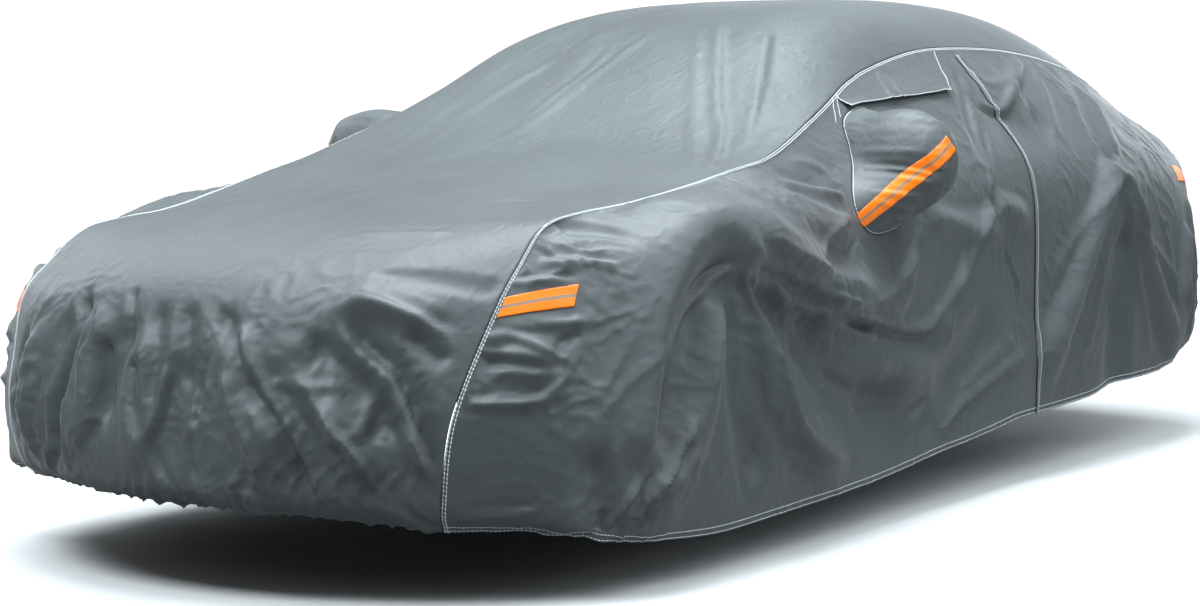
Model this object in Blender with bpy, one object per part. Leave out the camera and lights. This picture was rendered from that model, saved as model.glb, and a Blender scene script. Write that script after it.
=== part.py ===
"""A fitted car cover in the folds in which it hangs, hollow underneath.

The cloth is first laid out as one skin: a long top sheet that runs from the front hem over the roof to
the rear hem, two side sheets, and a mirror pocket grown out of each side. The folds are pushed along
the skin's normals. The skin is then cut along its seams into the panels that are sewn together, and
each panel gets the thickness of the cloth. The flap, the zip's placket and the reflective strips are
thin pieces that lie on the panels.

Metres, +Z up. The front of the cover points to -Y and its left side to +X. The tables are in
centimetres above the floor, and the empty that carries the pieces puts the origin under the roof.
"""
import math

import bmesh
import bpy
from mathutils import Vector
from mathutils.bvhtree import BVHTree
from mathutils.kdtree import KDTree

CM = 0.01
CLOTH = 0.002            # thickness of the coated cloth
SEAM_GAP = 0.0004        # clear width along a seam
TRIM_LIFT = 0.0006       # trim that follows the panel's own facets
STRIP_LIFT = 0.0004      # strips on the sides, above the panel's highest facet
BAG_STRIP_LIFT = 0.0016  # strips on the mirror pockets, whose facets turn more
TRIM = 0.001             # thickness of strips, flap and placket
ROOF_MOUNT = Vector((0.0, 0.80, 1.499))   # underside of the roof, above the floor

# Sections of one side, from the upright seam at the front to the one at the rear.
# Each point is (out from the middle, along, above the floor) in centimetres.
SIDE_COLUMNS = ("seam", "upper", "shoulder", "waist", "low", "hem")
SIDE_SECTIONS = (
    ((70, -186, 88.5), (71, -197, 80), (70.5, -207.5, 69), (67, -220, 45), (64, -220, 25), (62, -216, 18)),
    ((71.5, -170, 90.5), (78.5, -182, 83), (81.5, -194, 71), (82.5, -204.5, 45), (79, -206, 23), (76.5, -202, 17.5)),
    ((73, -152, 92), (84, -162, 86.5), (90.5, -172, 75.5), (93, -184, 45), (92, -190, 20), (89.5, -190, 14.5)),
    ((75, -130, 95), (86, -136, 91), (93.5, -142, 82), (95, -146, 46), (95, -149, 18), (94.5, -150, 11)),
    ((76, -105, 99), (86, -106, 93), (92.5, -108, 80), (94.5, -108, 45), (95, -109, 19), (95, -110, 11.5)),
    ((75.5, -80, 103), (83, -79, 95), (90.5, -85, 82), (93, -80, 45), (95, -76, 20), (95, -75, 12.5)),
    ((69.4, -39, 114.5), (78, -37.5, 103.5), (89, -58, 85), (92, -50, 48), (94, -46, 20.5), (94, -45, 13.5)),
    ((65, -12, 123), (76.5, -9, 108.5), (88, -16, 89.5), (91, -12, 50), (93, -9, 23), (93, -8, 16)),
    ((61, 15, 128), (75, 17, 112), (87, 20, 92), (90.5, 22, 51), (93, 24, 25), (93, 25, 18)),
    ((58.5, 47, 132.5), (74, 47, 115), (87, 48, 93), (90.5, 48, 52), (93, 48, 27), (93, 48, 20)),
    ((58, 74.5, 134), (74, 72.5, 115), (88, 71, 92), (91, 67.5, 52), (93, 65, 27.5), (93, 64, 20.5)),
    ((58, 112, 134), (75, 110, 116), (90, 108, 92), (93, 106, 54), (93.5, 105, 28.5), (93, 105, 21.5)),
    ((59, 148, 131.5), (77, 142, 114), (92, 138, 91), (94, 140, 56), (93.5, 142, 31), (93, 142, 24)),
    ((60, 180, 126), (77, 180, 109), (90, 175, 90), (93.5, 175, 57), (93.5, 176, 32), (93, 176, 25)),
    ((63.5, 210, 114), (76.5, 208, 104), (88, 206, 88), (93.5, 205, 57), (93, 204, 35), (90.5, 201, 29)),
    ((70, 229, 105), (76, 232, 99), (82, 231, 87), (87, 230, 56), (88.5, 223, 36), (85.5, 215, 30.5)),
    ((75.5, 241, 96.5), (77.5, 242.5, 90.5), (78.5, 244.5, 80), (79.5, 243.5, 56), (77.5, 237, 36), (74.5, 230, 32)),
)

# The middle line of the top sheet at the same sections: (along, above the floor, fullness).
# A higher fullness keeps the sheet flat across and turns it down close to the seam.
MIDDLE_LINE = (
    (-213, 84.5, 2.3), (-188, 90, 2.3), (-162, 94, 2.3), (-136, 97, 2.3), (-108, 101, 2.3),
    (-84, 107, 2.7), (-50, 126, 3.4), (-20, 138.6, 4.2), (12, 145.6, 4.4), (48, 148.8, 4.0),
    (80, 150.1, 3.6), (114, 150.5, 3.5), (150, 148.5, 3.4), (185, 142, 3.0), (215, 129, 2.6),
    (238, 115, 2.4), (255, 104, 2.4),
)
# The middle line down the front and down the rear, one row for each column of a side section.
FRONT_LINE = ((-213, 84.5), (-230, 75), (-237.5, 64), (-242.5, 43), (-241, 27), (-235, 22.5))
REAR_LINE = ((255, 104), (261, 97), (265, 85), (264, 58), (257, 35), (249, 32.5))
END_FULLNESS = 2.4
SWEEP = 2.2              # how the seams sweep back from the middle line

# Grid lines of the sheets, counted in sections along and in columns down. Both sides are cut from one
# pattern, in two pieces that meet at the zip's line, and only the left side has the zip.
SECTIONS = len(SIDE_SECTIONS) - 1
COLUMNS = len(SIDE_COLUMNS) - 1
ZIP_LINE = 10
PLACKET_FRONT = ZIP_LINE - 0.015
PLACKET_BACK = ZIP_LINE + 0.075
POCKET_ALONG = (6, 7)
POCKET_DOWN = (0.4, 2.2)
BASE_ROUNDING = 3.0      # 2 makes the base of a pocket an ellipse
LINES_ALONG = sorted(
    {n / 3 for n in range(3 * SECTIONS + 1) if not 18 < n < 21}
    | {6.25, 6.5, 6.75, PLACKET_FRONT, PLACKET_BACK}
)
LINES_DOWN = (0, 0.2, 0.4, 0.7, 1, 1.4, 1.8, 2.2, 2.4, 2.6, 2.8, 3, 3.25, 3.5, 3.75, 4, 4.5, 5)
CELLS_ACROSS = 18

# Folds. Heights and widths in centimetres; a path's points are (along, above the floor) on a side,
# (out, above the floor) on the front and rear, and (out, along) on the top. "ridge" is a soft
# swelling, or a trough where its height is negative. "lip" is a crest with a valley on the right-hand
# side of the path. A width or fade pair is for the path's start and end.
SIDE_FOLDS = (
    # kind, height, widths, fades, path
    ("lip", 3.0, (5, 10), (10, 30), ((-178, 28), (-173, 47), (-166, 63), (-155, 74), (-142, 80),
                                     (-119, 74), (-95, 66), (-67, 58), (-46, 53))),
    ("ridge", 3.3, (7, 13), (8, 20), ((-147, 74), (-149, 58), (-156, 40), (-172, 24), (-183, 15))),
    ("ridge", 3.6, (7, 13), (8, 25), ((-131, 76), (-122, 59), (-114, 42), (-95, 28), (-70, 20))),
    ("ridge", -3.0, (6, 12), (10, 10), ((-137, 70), (-135, 55), (-132, 38), (-122, 18))),
    ("lip", 2.4, (5, 8), (10, 15), ((-128, 84), (-111, 75), (-77, 62), (-56, 57), (-32, 55))),
    ("lip", 2.4, (5, 8), (10, 15), ((-95, 62), (-78, 48), (-66, 42), (-50, 41), (-30, 44))),
    ("ridge", 2.7, (8, 14), (15, 25), ((-142, 81), (-99, 68), (-55, 49), (6, 31))),
    ("ridge", -2.1, (8, 12), (15, 20), ((-66, 36), (-30, 32), (10, 40), (40, 55))),
    ("ridge", 2.1, (5, 9), (6, 15), ((-58, 80), (-91, 87), (-112, 90))),
    ("ridge", -1.8, (5, 9), (6, 15), ((-58, 78), (-77, 74), (-98, 72))),
    ("ridge", 2.1, (5, 9), (6, 15), ((-19, 76), (-29, 64), (-47, 55))),
    ("ridge", 1.8, (5, 9), (6, 15), ((-9, 84), (24, 79), (51, 79))),
    ("ridge", 2.1, (5, 9), (6, 15), ((39, 87), (70, 79))),
    ("ridge", -1.8, (5, 8), (8, 12), ((70, 128), (52, 112), (40, 96))),
    ("lip", 1.8, (5, 6), (6, 6), ((68, 126), (74, 116), (90, 112), (104, 118))),
    ("ridge", 1.8, (6, 9), (10, 15), ((165, 122), (150, 108), (135, 94))),
    ("ridge", 3.6, (7, 13), (5, 20), ((134, 97), (112, 76), (96, 58), (65, 28))),
    ("ridge", 3.6, (7, 12), (5, 20), ((134, 97), (148, 76), (175, 44), (197, 28))),
    ("ridge", -3.3, (9, 18), (12, 1), ((141, 80), (137, 55), (132, 22))),
    ("ridge", 2.4, (6, 10), (8, 20), ((205, 76), (196, 55), (190, 30))),
    ("ridge", -2.4, (6, 9), (8, 20), ((218, 80), (222, 60), (220, 36))),
    ("ridge", 2.2, (6, 8), (8, 8), ((-213, 54), (-204, 57), (-197, 53))),
    ("ridge", -2.4, (5, 8), (8, 4), ((-196, 40), (-194, 26), (-191, 14))),
)
FRONT_FOLDS = (
    ("ridge", -3.4, (5, 8), (6, 10), ((-31, 72), (-36, 61), (-37, 46), (-40, 27))),
    ("ridge", 2.4, (5, 8), (8, 10), ((-22, 70), (-27, 54), (-28, 30))),
    ("ridge", -2.5, (5, 7), (8, 12), ((-14, 68), (-17, 52), (-18, 36))),
    ("ridge", 2.0, (5, 7), (8, 12), ((-5, 66), (-7, 50), (-8, 28))),
    ("ridge", -2.7, (6, 8), (8, 12), ((5, 60), (3, 42), (2, 27))),
    ("ridge", 2.7, (6, 8), (8, 12), ((16, 66), (25, 48), (34, 31))),
    ("ridge", -2.4, (6, 8), (8, 10), ((23, 58), (35, 43), (40, 25))),
    ("lip", 2.7, (5, 6), (6, 8), ((36, 68), (46, 63), (54, 55), (59, 46), (62, 38))),
    ("ridge", 2.2, (5, 6), (8, 10), ((39, 51), (46, 41), (51, 28))),
    ("ridge", 1.9, (5, 6), (10, 5), ((41, 72), (53, 69), (61, 65))),
    ("ridge", 2.2, (6, 9), (8, 12), ((-48, 66), (-52, 48), (-54, 30))),
    ("ridge", -2.5, (5, 8), (8, 12), ((-58, 62), (-60, 45), (-60, 30))),
)
TOP_FOLDS = (
    ("ridge", 1.2, (9, 12), (25, 40), ((-11, -6), (-4, -70), (12, -183))),
    ("ridge", 1.2, (6, 8), (15, 15), ((31, -4), (50, -40), (65, -67))),
    ("ridge", -1.0, (6, 8), (15, 15), ((-34, -10), (-44, -50), (-38, -110))),
    ("ridge", 1.0, (8, 10), (20, 20), ((-46, -80), (-20, -120), (20, -150))),
    ("ridge", -1.2, (9, 10), (20, 20), ((-30, 150), (-10, 190), (-14, 230))),
    ("ridge", 1.2, (8, 10), (20, 20), ((26, 156), (18, 196), (24, 232))),
)
REAR_FOLDS = (
    ("ridge", -2.4, (6, 9), (10, 12), ((-42, 82), (-40, 60), (-42, 38))),
    ("ridge", 2.2, (7, 9), (10, 12), ((-16, 80), (-18, 58), (-14, 38))),
    ("ridge", -2.1, (6, 9), (10, 12), ((10, 84), (6, 62), (8, 40))),
    ("ridge", 2.2, (7, 9), (10, 12), ((36, 80), (40, 58), (38, 38))),
)
FAR_SIDE_SHIFT = (5, -2)  # the right side's folds: the same rows, moved and a little shallower
FAR_SIDE_DEPTH = 0.85

# Mirror pockets: the middle of each bag, and its reach (out, along, up). The cloth runs straight from
# its base to the bag, and is drawn in under the bag's rear.
POCKET_MIDDLE = {1: Vector((0.93, -0.31, 0.995)), -1: Vector((-0.90, -0.31, 1.00))}
POCKET_REACH = Vector((0.145, 0.125, 0.16))
POCKET_RINGS = 8
POCKET_STRAIGHT = 0.5    # share of the rings that lie between the base and the bag
POCKET_SOFTENING = 4     # rounds of smoothing between the base and the bag's far end
POCKET_SOFT_SHARE = 0.8
POCKET_HOLLOW = 0.03
POCKET_HOLLOW_TURN = math.radians(-40)

# The vent flap's corners and its lower edge from front to rear, as (sections along, columns down).
FLAP_TOP_FRONT = (6.75, 0.08)
FLAP_TOP_REAR = (9.55, 0.08)
FLAP_LOWER_EDGE = ((6.62, 0.22), (7.15, 0.48), (7.85, 0.62), (8.98, 0.75))
FLAP_STEPS = 9
FLAP_LIFTS = (0.0004, 0.003, 0.006, 0.010)

STRIP_ROWS = 3
STRIP_STEP = 0.013
# Strips on the sides: name, side (+1 left), then (sections along, column of the upper edge, column of
# the lower edge) at the start and at the end.
SIDE_STRIPS = (
    ("front_left_strip", 1, (0.07, 1.83, 2.10), (1.12, 1.83, 2.10)),
    ("front_right_strip", -1, (0.07, 2.03, 2.30), (1.12, 2.03, 2.30)),
    ("rear_left_strip", 1, (14.1, 1.66, 1.96), (15.9, 1.08, 1.44)),
    ("rear_right_strip", -1, (14.1, 1.66, 1.96), (15.9, 1.08, 1.44)),
)
# The mirror strips, as (out, along, above the floor): upper and lower corner at the start, then the
# end. They are laid on along a line that points inwards and back.
MIRROR_STRIP = ((89, -58, 84.5), (90, -56, 80.5), (105, -33, 107.5), (107.5, -31, 103.5))
MIRROR_STRIP_LINE = (-0.75, 0.66, 0.0)

# Surface finishes: colour and roughness.
FINISHES = {
    "cover_cloth": ((0.115, 0.130, 0.135, 1.0), 0.55),
    "placket_cloth": ((0.165, 0.180, 0.190, 1.0), 0.60),
    "reflective_orange": ((1.0, 0.22, 0.0, 1.0), 0.35),
}


def clear_scene():
    for item in list(bpy.data.objects):
        bpy.data.objects.remove(item, do_unlink=True)


def finish(name):
    """A Principled material for one of the cover's cloths."""
    colour, roughness = FINISHES[name]
    material = bpy.data.materials.get(name) or bpy.data.materials.new(name)
    material.use_nodes = True
    shader = material.node_tree.nodes["Principled BSDF"]
    shader.inputs["Base Color"].default_value = colour
    shader.inputs["Roughness"].default_value = roughness
    shader.inputs["Metallic"].default_value = 0.0
    return material


def ease(value):
    """0 below 0, 1 above 1, and a soft S between."""
    value = min(max(value, 0.0), 1.0)
    return value * value * (3 - 2 * value)


def through(rows, place):
    """The smooth curve through evenly counted rows, read at a place counted in rows."""
    last = len(rows) - 1
    place = min(max(place, 0.0), float(last))
    row = min(int(place), last - 1)
    part = place - row
    one = Vector(rows[row])
    two = Vector(rows[row + 1])
    before = Vector(rows[row - 1]) if row > 0 else 2 * one - two
    after = Vector(rows[row + 2]) if row + 2 <= last else 2 * two - one
    return 0.5 * (
        2 * one
        + (two - before) * part
        + (2 * before - 5 * one + 4 * two - after) * part ** 2
        + (3 * one - before - 3 * two + after) * part ** 3
    )


def settle(point):
    """The right-hand front corner lies a little lower, and its hem rides up."""
    far = ease(-point.x / 0.65)
    drop = 0.045 * ease((-0.50 - point.y) / 1.00) * ease((point.z - 0.62) / 0.22)
    lift = 0.055 * ease((-1.35 - point.y) / 0.50) * (1 - ease((point.z - 0.10) / 0.40))
    out = 0.025 * ease((-1.50 - point.y) / 0.40) * ease((point.z - 0.50) / 0.20)
    return Vector((point.x - far * out, point.y, point.z + far * (lift - drop)))


def left_point(along, down):
    """A point of the left side, before its folds."""
    columns = [through([row[n] for row in SIDE_SECTIONS], along) for n in range(COLUMNS + 1)]
    return through(columns, down) * CM


def rounded_base(along, down):
    """The grid line crossings round a mirror pocket's base, with the base's corners rounded off."""
    middle = [(a + b) / 2 for a, b in (POCKET_ALONG, POCKET_DOWN)]
    half = [(b - a) / 2 for a, b in (POCKET_ALONG, POCKET_DOWN)]
    away = [(along - middle[0]) / half[0], (down - middle[1]) / half[1]]
    if abs(max(abs(away[0]), abs(away[1])) - 1) > 0.001:
        return along, down
    shrink = (abs(away[0]) ** BASE_ROUNDING + abs(away[1]) ** BASE_ROUNDING) ** (-1 / BASE_ROUNDING)
    return middle[0] + half[0] * away[0] * shrink, middle[1] + half[1] * away[1] * shrink


def side_point(side, along, down):
    point = left_point(along, down)
    return settle(Vector((side * point.x, point.y, point.z)))


def top_point(place, across):
    """A point of the top sheet: place runs from the front hem (negative) to the rear hem."""
    if place < 0:
        seam = left_point(0, -place)
        middle = through(FRONT_LINE, -place) * CM
        fullness = END_FULLNESS
    elif place > SECTIONS:
        seam = left_point(SECTIONS, place - SECTIONS)
        middle = through(REAR_LINE, place - SECTIONS) * CM
        fullness = END_FULLNESS
    else:
        seam = left_point(place, 0)
        row = through(MIDDLE_LINE, place)
        middle = Vector((row[0], row[1])) * CM
        fullness = row[2]
    out = abs(across)
    return settle(Vector((
        seam.x * across,
        middle[0] + (seam.y - middle[0]) * out ** SWEEP,
        middle[1] + (seam.z - middle[1]) * out ** fullness,
    )))


def fold_line(path):
    """A smooth run of points, in metres, through a fold's path, with the length reached at each."""
    steps = 6
    rows = [Vector((a * CM, b * CM)) for a, b in path]
    count = (len(rows) - 1) * steps
    points = [through(rows, n / steps) for n in range(count + 1)]
    reached = [0.0]
    for one, two in zip(points, points[1:]):
        reached.append(reached[-1] + (two - one).length)
    return points, reached


def prepared(folds, shift=(0, 0), depth=1.0):
    rows = []
    for kind, height, widths, fades, path in folds:
        moved = [(a + shift[0], b + shift[1]) for a, b in path]
        points, reached = fold_line(moved)
        rows.append((kind, height * depth * CM, [w * CM for w in widths], [f * CM for f in fades],
                     points, reached))
    return rows


def fold_rise(rows, spot):
    """How far the folds push the cloth out at a spot of a sheet's chart."""
    total = 0.0
    for kind, height, widths, fades, points, reached in rows:
        nearest = None
        for n in range(len(points) - 1):
            run = points[n + 1] - points[n]
            part = min(max((spot - points[n]).dot(run) / run.length_squared, 0.0), 1.0)
            offset = spot - (points[n] + run * part)
            if nearest is None or offset.length < abs(nearest[0]):
                left = run.x * offset.y - run.y * offset.x >= 0
                nearest = (offset.length if left else -offset.length, reached[n] + run.length * part)
        away, length = nearest
        share = length / reached[-1]
        turn = away / (widths[0] + (widths[1] - widths[0]) * share)
        if kind == "ridge":
            shape = max(0.0, 1 - turn * turn) ** 2
        else:
            shape = turn * math.exp((1 - turn * turn) / 2) if abs(turn) < 4 else 0.0
        ends = ease(length / fades[0]) * ease((reached[-1] - length) / fades[1])
        total += height * shape * ends
    return total


LEFT_ROWS = prepared(SIDE_FOLDS)
RIGHT_ROWS = prepared(SIDE_FOLDS, FAR_SIDE_SHIFT, FAR_SIDE_DEPTH)
FRONT_ROWS = prepared(FRONT_FOLDS)
TOP_ROWS = prepared(TOP_FOLDS)
REAR_ROWS = prepared(REAR_FOLDS)


def side_rise(side, along, down, point):
    """Folds of a side. The cloth is taut along its seams and round the mirror pocket."""
    rows = LEFT_ROWS if side > 0 else RIGHT_ROWS
    taut = ease(down / 0.5) * ease(along / 0.5) * ease((SECTIONS - along) / 0.6)
    gap_along = max(POCKET_ALONG[0] - along, along - POCKET_ALONG[1], 0.0)
    gap_down = max(POCKET_DOWN[0] - down, down - POCKET_DOWN[1], 0.0)
    taut *= ease(math.hypot(gap_along, gap_down) / 0.4)
    return taut * fold_rise(rows, Vector((point.y, point.z)))


def top_rise(place, across, point):
    """Folds of the front, the top and the rear, each on its own chart."""
    taut = ease((1 - abs(across)) / 0.16)
    if place < 0:
        return taut * ease(-place / 0.5) * fold_rise(FRONT_ROWS, Vector((point.x, point.z)))
    if place > SECTIONS:
        return taut * ease((place - SECTIONS) / 0.5) * fold_rise(REAR_ROWS, Vector((point.x, point.z)))
    return taut * ease(place) * fold_rise(TOP_ROWS, Vector((point.x, point.y)))


def sheet(skin, along_lines, cross_lines, place, piece):
    """Adds a grid sheet to the skin. place gives a vertex's point and its fold's rise."""
    cells_x = len(along_lines) - 1
    cells_y = len(cross_lines) - 1
    made = bmesh.ops.create_grid(skin, x_segments=cells_x, y_segments=cells_y, size=1.0)
    rise = skin.verts.layers.float["rise"]
    tag = skin.faces.layers.int["piece"]
    faces = set()
    where = {}
    for vert in made["verts"]:
        a = along_lines[round((vert.co.x + 1) / 2 * cells_x)]
        b = cross_lines[round((vert.co.y + 1) / 2 * cells_y)]
        where[vert] = (a, b)
        vert.co, vert[rise] = place(a, b)
        faces.update(vert.link_faces)
    for face in faces:
        spots = [where[vert] for vert in face.verts]
        face[tag] = piece(sum(s[0] for s in spots) / 4, sum(s[1] for s in spots) / 4)
    return list(faces)


def pocket_profile(reach, out, share):
    """(away from the bag's middle, out) on a taut line from the base to the bag, then round the bag."""
    start = Vector((reach[0] / reach[1], out / POCKET_REACH.x))
    lean = math.acos(min(1.0, 1 / max(start.length, 1.0)))
    touch = math.atan2(start.y, start.x) + lean
    if share < POCKET_STRAIGHT:
        rim = Vector((math.cos(touch), math.sin(touch)))
        spot = start.lerp(rim, share / POCKET_STRAIGHT)
    else:
        turn = touch + (math.pi / 2 - touch) * (share - POCKET_STRAIGHT) / (1 - POCKET_STRAIGHT)
        spot = Vector((math.cos(turn), math.sin(turn)))
    return spot.x * reach[1], spot.y * POCKET_REACH.x


def grow_pocket(skin, side, hole, tag_number):
    """Closes a side's hole with a bag: rings of cloth from the hole's edge to the bag's tip."""
    tag = skin.faces.layers.int["piece"]
    rise = skin.verts.layers.float["rise"]
    middle = POCKET_MIDDLE[side]
    root = {vert: vert.co.copy() for vert in {v for e in hole for v in e.verts}}
    edge = {vert: vert for vert in root}
    ring = list(hole)
    soft = []
    for step in range(1, POCKET_RINGS + 1):
        share = step / POCKET_RINGS
        made = bmesh.ops.extrude_edge_only(skin, edges=ring)["geom"]
        new_edges = [item for item in made if isinstance(item, bmesh.types.BMEdge)]
        new_verts = [item for item in made if isinstance(item, bmesh.types.BMVert)]
        for face in (item for item in made if isinstance(item, bmesh.types.BMFace)):
            face[tag] = tag_number
        followed = {}
        for vert in new_verts:
            old = next(e.other_vert(vert) for e in vert.link_edges if e.other_vert(vert) in edge)
            followed[vert] = edge[old]
        for vert, start in followed.items():
            away = root[start] - middle
            turn = math.atan2(away.z, away.y)
            radius = 1 / math.hypot(math.cos(turn) / POCKET_REACH.y, math.sin(turn) / POCKET_REACH.z)
            length, out = pocket_profile((math.hypot(away.y, away.z), radius), side * away.x, share)
            under = max(0.0, math.cos(turn - POCKET_HOLLOW_TURN)) * math.sin(math.pi * share)
            length -= POCKET_HOLLOW * under
            vert.co = middle + Vector((side * out, length * math.cos(turn), length * math.sin(turn)))
            vert[rise] = 0.0
            if share < POCKET_SOFT_SHARE:
                soft.append(vert)
        edge = followed
        ring = new_edges
    tip = sum((v.co for v in edge), Vector()) / len(edge)
    bmesh.ops.pointmerge(skin, verts=list(edge), merge_co=tip)
    for turn in range(POCKET_SOFTENING):
        bmesh.ops.smooth_vert(skin, verts=soft, factor=0.5, use_axis_x=True, use_axis_y=True, use_axis_z=True)


PIECES = (
    "top_panel",
    "left_front_side_panel",
    "left_rear_side_panel",
    "right_front_side_panel",
    "right_rear_side_panel",
    "left_mirror_pocket",
    "right_mirror_pocket",
)
HOLE = -1


def side_piece(side, along, down):
    """The number of the piece that a side's cell belongs to."""
    if POCKET_ALONG[0] < along < POCKET_ALONG[1] and POCKET_DOWN[0] < down < POCKET_DOWN[1]:
        return HOLE
    hand = "left" if side > 0 else "right"
    end = "front" if along < ZIP_LINE else "rear"
    return PIECES.index(f"{hand}_{end}_side_panel")


def make_skin():
    """The whole cover as one surface, with its folds, each face marked with its piece."""
    skin = bmesh.new()
    skin.verts.layers.float.new("rise")
    skin.faces.layers.int.new("piece")
    down_front = [-d for d in reversed(LINES_DOWN)]
    down_rear = [SECTIONS + d for d in LINES_DOWN[1:]]
    top_lines = down_front + list(LINES_ALONG[1:]) + down_rear
    spread = [2 * n / CELLS_ACROSS - 1 for n in range(CELLS_ACROSS + 1)]
    cross_lines = [t + 0.1 * math.sin(math.pi * t) for t in spread]
    cross_lines[0] = -1.0
    cross_lines[-1] = 1.0

    def place_top(a, b):
        point = top_point(a, b)
        return point, top_rise(a, b, point)

    sheet(skin, top_lines, cross_lines, place_top, lambda a, b: 0)
    for side in (1, -1):

        def place_side(a, b):
            a, b = rounded_base(a, b)
            point = side_point(side, a, b)
            return point, side_rise(side, a, b, point)

        faces = sheet(skin, LINES_ALONG, LINES_DOWN, place_side, lambda a, b: side_piece(side, a, b))
        tag = skin.faces.layers.int["piece"]
        cut = [face for face in faces if face[tag] == HOLE]
        inside = set(cut)
        hole = [e for f in cut for e in f.edges if any(g not in inside for g in e.link_faces)]
        bmesh.ops.delete(skin, geom=cut, context="FACES")
        number = PIECES.index("left_mirror_pocket" if side > 0 else "right_mirror_pocket")
        grow_pocket(skin, side, [e for e in hole if e.is_valid], number)
    bmesh.ops.remove_doubles(skin, verts=skin.verts[:], dist=0.00005)
    bmesh.ops.recalc_face_normals(skin, faces=skin.faces[:])
    roof = max(skin.faces, key=lambda face: face.calc_center_median().z)
    if roof.normal.z < 0:
        bmesh.ops.reverse_faces(skin, faces=skin.faces[:])
    skin.normal_update()
    rise = skin.verts.layers.float["rise"]
    flat = skin.verts.layers.float_vector.new("flat_place")
    for vert, normal in [(v, v.normal.copy()) for v in skin.verts]:
        vert[flat] = vert.co
        vert.co += normal * vert[rise]
    bmesh.ops.triangulate(skin, faces=skin.faces[:], quad_method="SHORT_EDGE")
    skin.normal_update()
    return skin


def add_object(name, mesh_data, material, parent):
    mesh = bpy.data.meshes.new(name)
    mesh_data.to_mesh(mesh)
    mesh_data.free()
    mesh.materials.append(finish(material))
    mesh.shade_smooth()
    mesh.set_sharp_from_angle(angle=math.radians(50))
    piece = bpy.data.objects.new(name, mesh)
    bpy.context.scene.collection.objects.link(piece)
    piece.parent = parent
    return piece


def thicken(cloth, depth):
    """Gives an open cloth its thickness, inwards along the normals kept on its vertices."""
    kept = cloth.verts.layers.float_vector["kept_normal"]
    outer = set(cloth.verts)
    bmesh.ops.extrude_face_region(cloth, geom=cloth.faces[:], use_keep_orig=True)
    for vert in cloth.verts:
        if vert not in outer:
            vert.co -= vert[kept] * depth
    bmesh.ops.recalc_face_normals(cloth, faces=cloth.faces[:])
    bmesh.ops.triangulate(cloth, faces=cloth.faces[:], quad_method="SHORT_EDGE")


def cut_panel(skin, number):
    """One panel cut from the skin, drawn back a little from its seams."""
    cloth = skin.copy()
    tag = cloth.faces.layers.int["piece"]
    kept = cloth.verts.layers.float_vector.new("kept_normal")
    seam_back = {}
    for edge in cloth.edges:
        own = [face for face in edge.link_faces if face[tag] == number]
        if len(own) != 1 or len(edge.link_faces) != 2:
            continue
        face = own[0]
        middle = face.calc_center_median() - edge.verts[0].co
        run = (edge.verts[1].co - edge.verts[0].co).normalized()
        inward = (middle - run * middle.dot(run)).normalized()
        for vert in edge.verts:
            seam_back.setdefault(vert, []).append(inward)
    moves = {}
    for vert in cloth.verts:
        own = [face.normal for face in vert.link_faces if face[tag] == number]
        if not own:
            continue
        mitre = max(0.6, sum(vert.normal.dot(n) for n in own) / len(own))
        vert[kept] = vert.normal / mitre
        if vert in seam_back:
            inward = sum(seam_back[vert], Vector())
            inward -= vert.normal * inward.dot(vert.normal)
            moves[vert] = inward.normalized() * SEAM_GAP / 2
    for vert, move in moves.items():
        vert.co += move
    others = [face for face in cloth.faces if face[tag] != number]
    bmesh.ops.delete(cloth, geom=others, context="FACES")
    thicken(cloth, CLOTH)
    return cloth


def sheet_from_rows(rows, normals, depth):
    """A thin closed piece through rows of points, with its back on those points."""
    cloth = bmesh.new()
    cells_x = len(rows) - 1
    cells_y = len(rows[0]) - 1
    kept = cloth.verts.layers.float_vector.new("kept_normal")
    made = bmesh.ops.create_grid(cloth, x_segments=cells_x, y_segments=cells_y, size=1.0)
    for vert in made["verts"]:
        a = round((vert.co.x + 1) / 2 * cells_x)
        b = round((vert.co.y + 1) / 2 * cells_y)
        vert.co = rows[a][b]
        vert[kept] = -normals[a][b]
    bmesh.ops.triangulate(cloth, faces=cloth.faces[:], quad_method="SHORT_EDGE")
    thicken(cloth, depth)
    return cloth


def skin_finder(skin):
    """A finder of the skin's folded vertices by their grid lines on a side."""
    flat = skin.verts.layers.float_vector["flat_place"]
    verts = list(skin.verts)
    tree = KDTree(len(verts))
    for n, vert in enumerate(verts):
        tree.insert(vert[flat], n)
    tree.balance()

    def find(side, along, down):
        spot, index, distance = tree.find(side_point(side, along, down))
        return verts[index].co.copy(), verts[index].normal.copy()

    return find


def on_grid_line(skin_at, side, along, down):
    """A point and normal on a side's grid line, between its vertices."""
    lower = max(n for n, value in enumerate(LINES_DOWN) if value <= down + 1e-6)
    lower = min(lower, len(LINES_DOWN) - 2)
    part = (down - LINES_DOWN[lower]) / (LINES_DOWN[lower + 1] - LINES_DOWN[lower])
    one, one_normal = skin_at(side, along, LINES_DOWN[lower])
    two, two_normal = skin_at(side, along, LINES_DOWN[lower + 1])
    return one.lerp(two, part), one_normal.lerp(two_normal, part).normalized()


def make_placket(skin_at, parent):
    lines = (PLACKET_FRONT, ZIP_LINE, PLACKET_BACK)
    downs = (0.12,) + LINES_DOWN[1:]
    rows = []
    normals = []
    for along in lines:
        spots = [on_grid_line(skin_at, 1, along, down) for down in downs]
        rows.append([spot + normal * TRIM_LIFT for spot, normal in spots])
        normals.append([normal for spot, normal in spots])
    add_object("zip_placket", sheet_from_rows(rows, normals, TRIM), "placket_cloth", parent)


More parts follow.
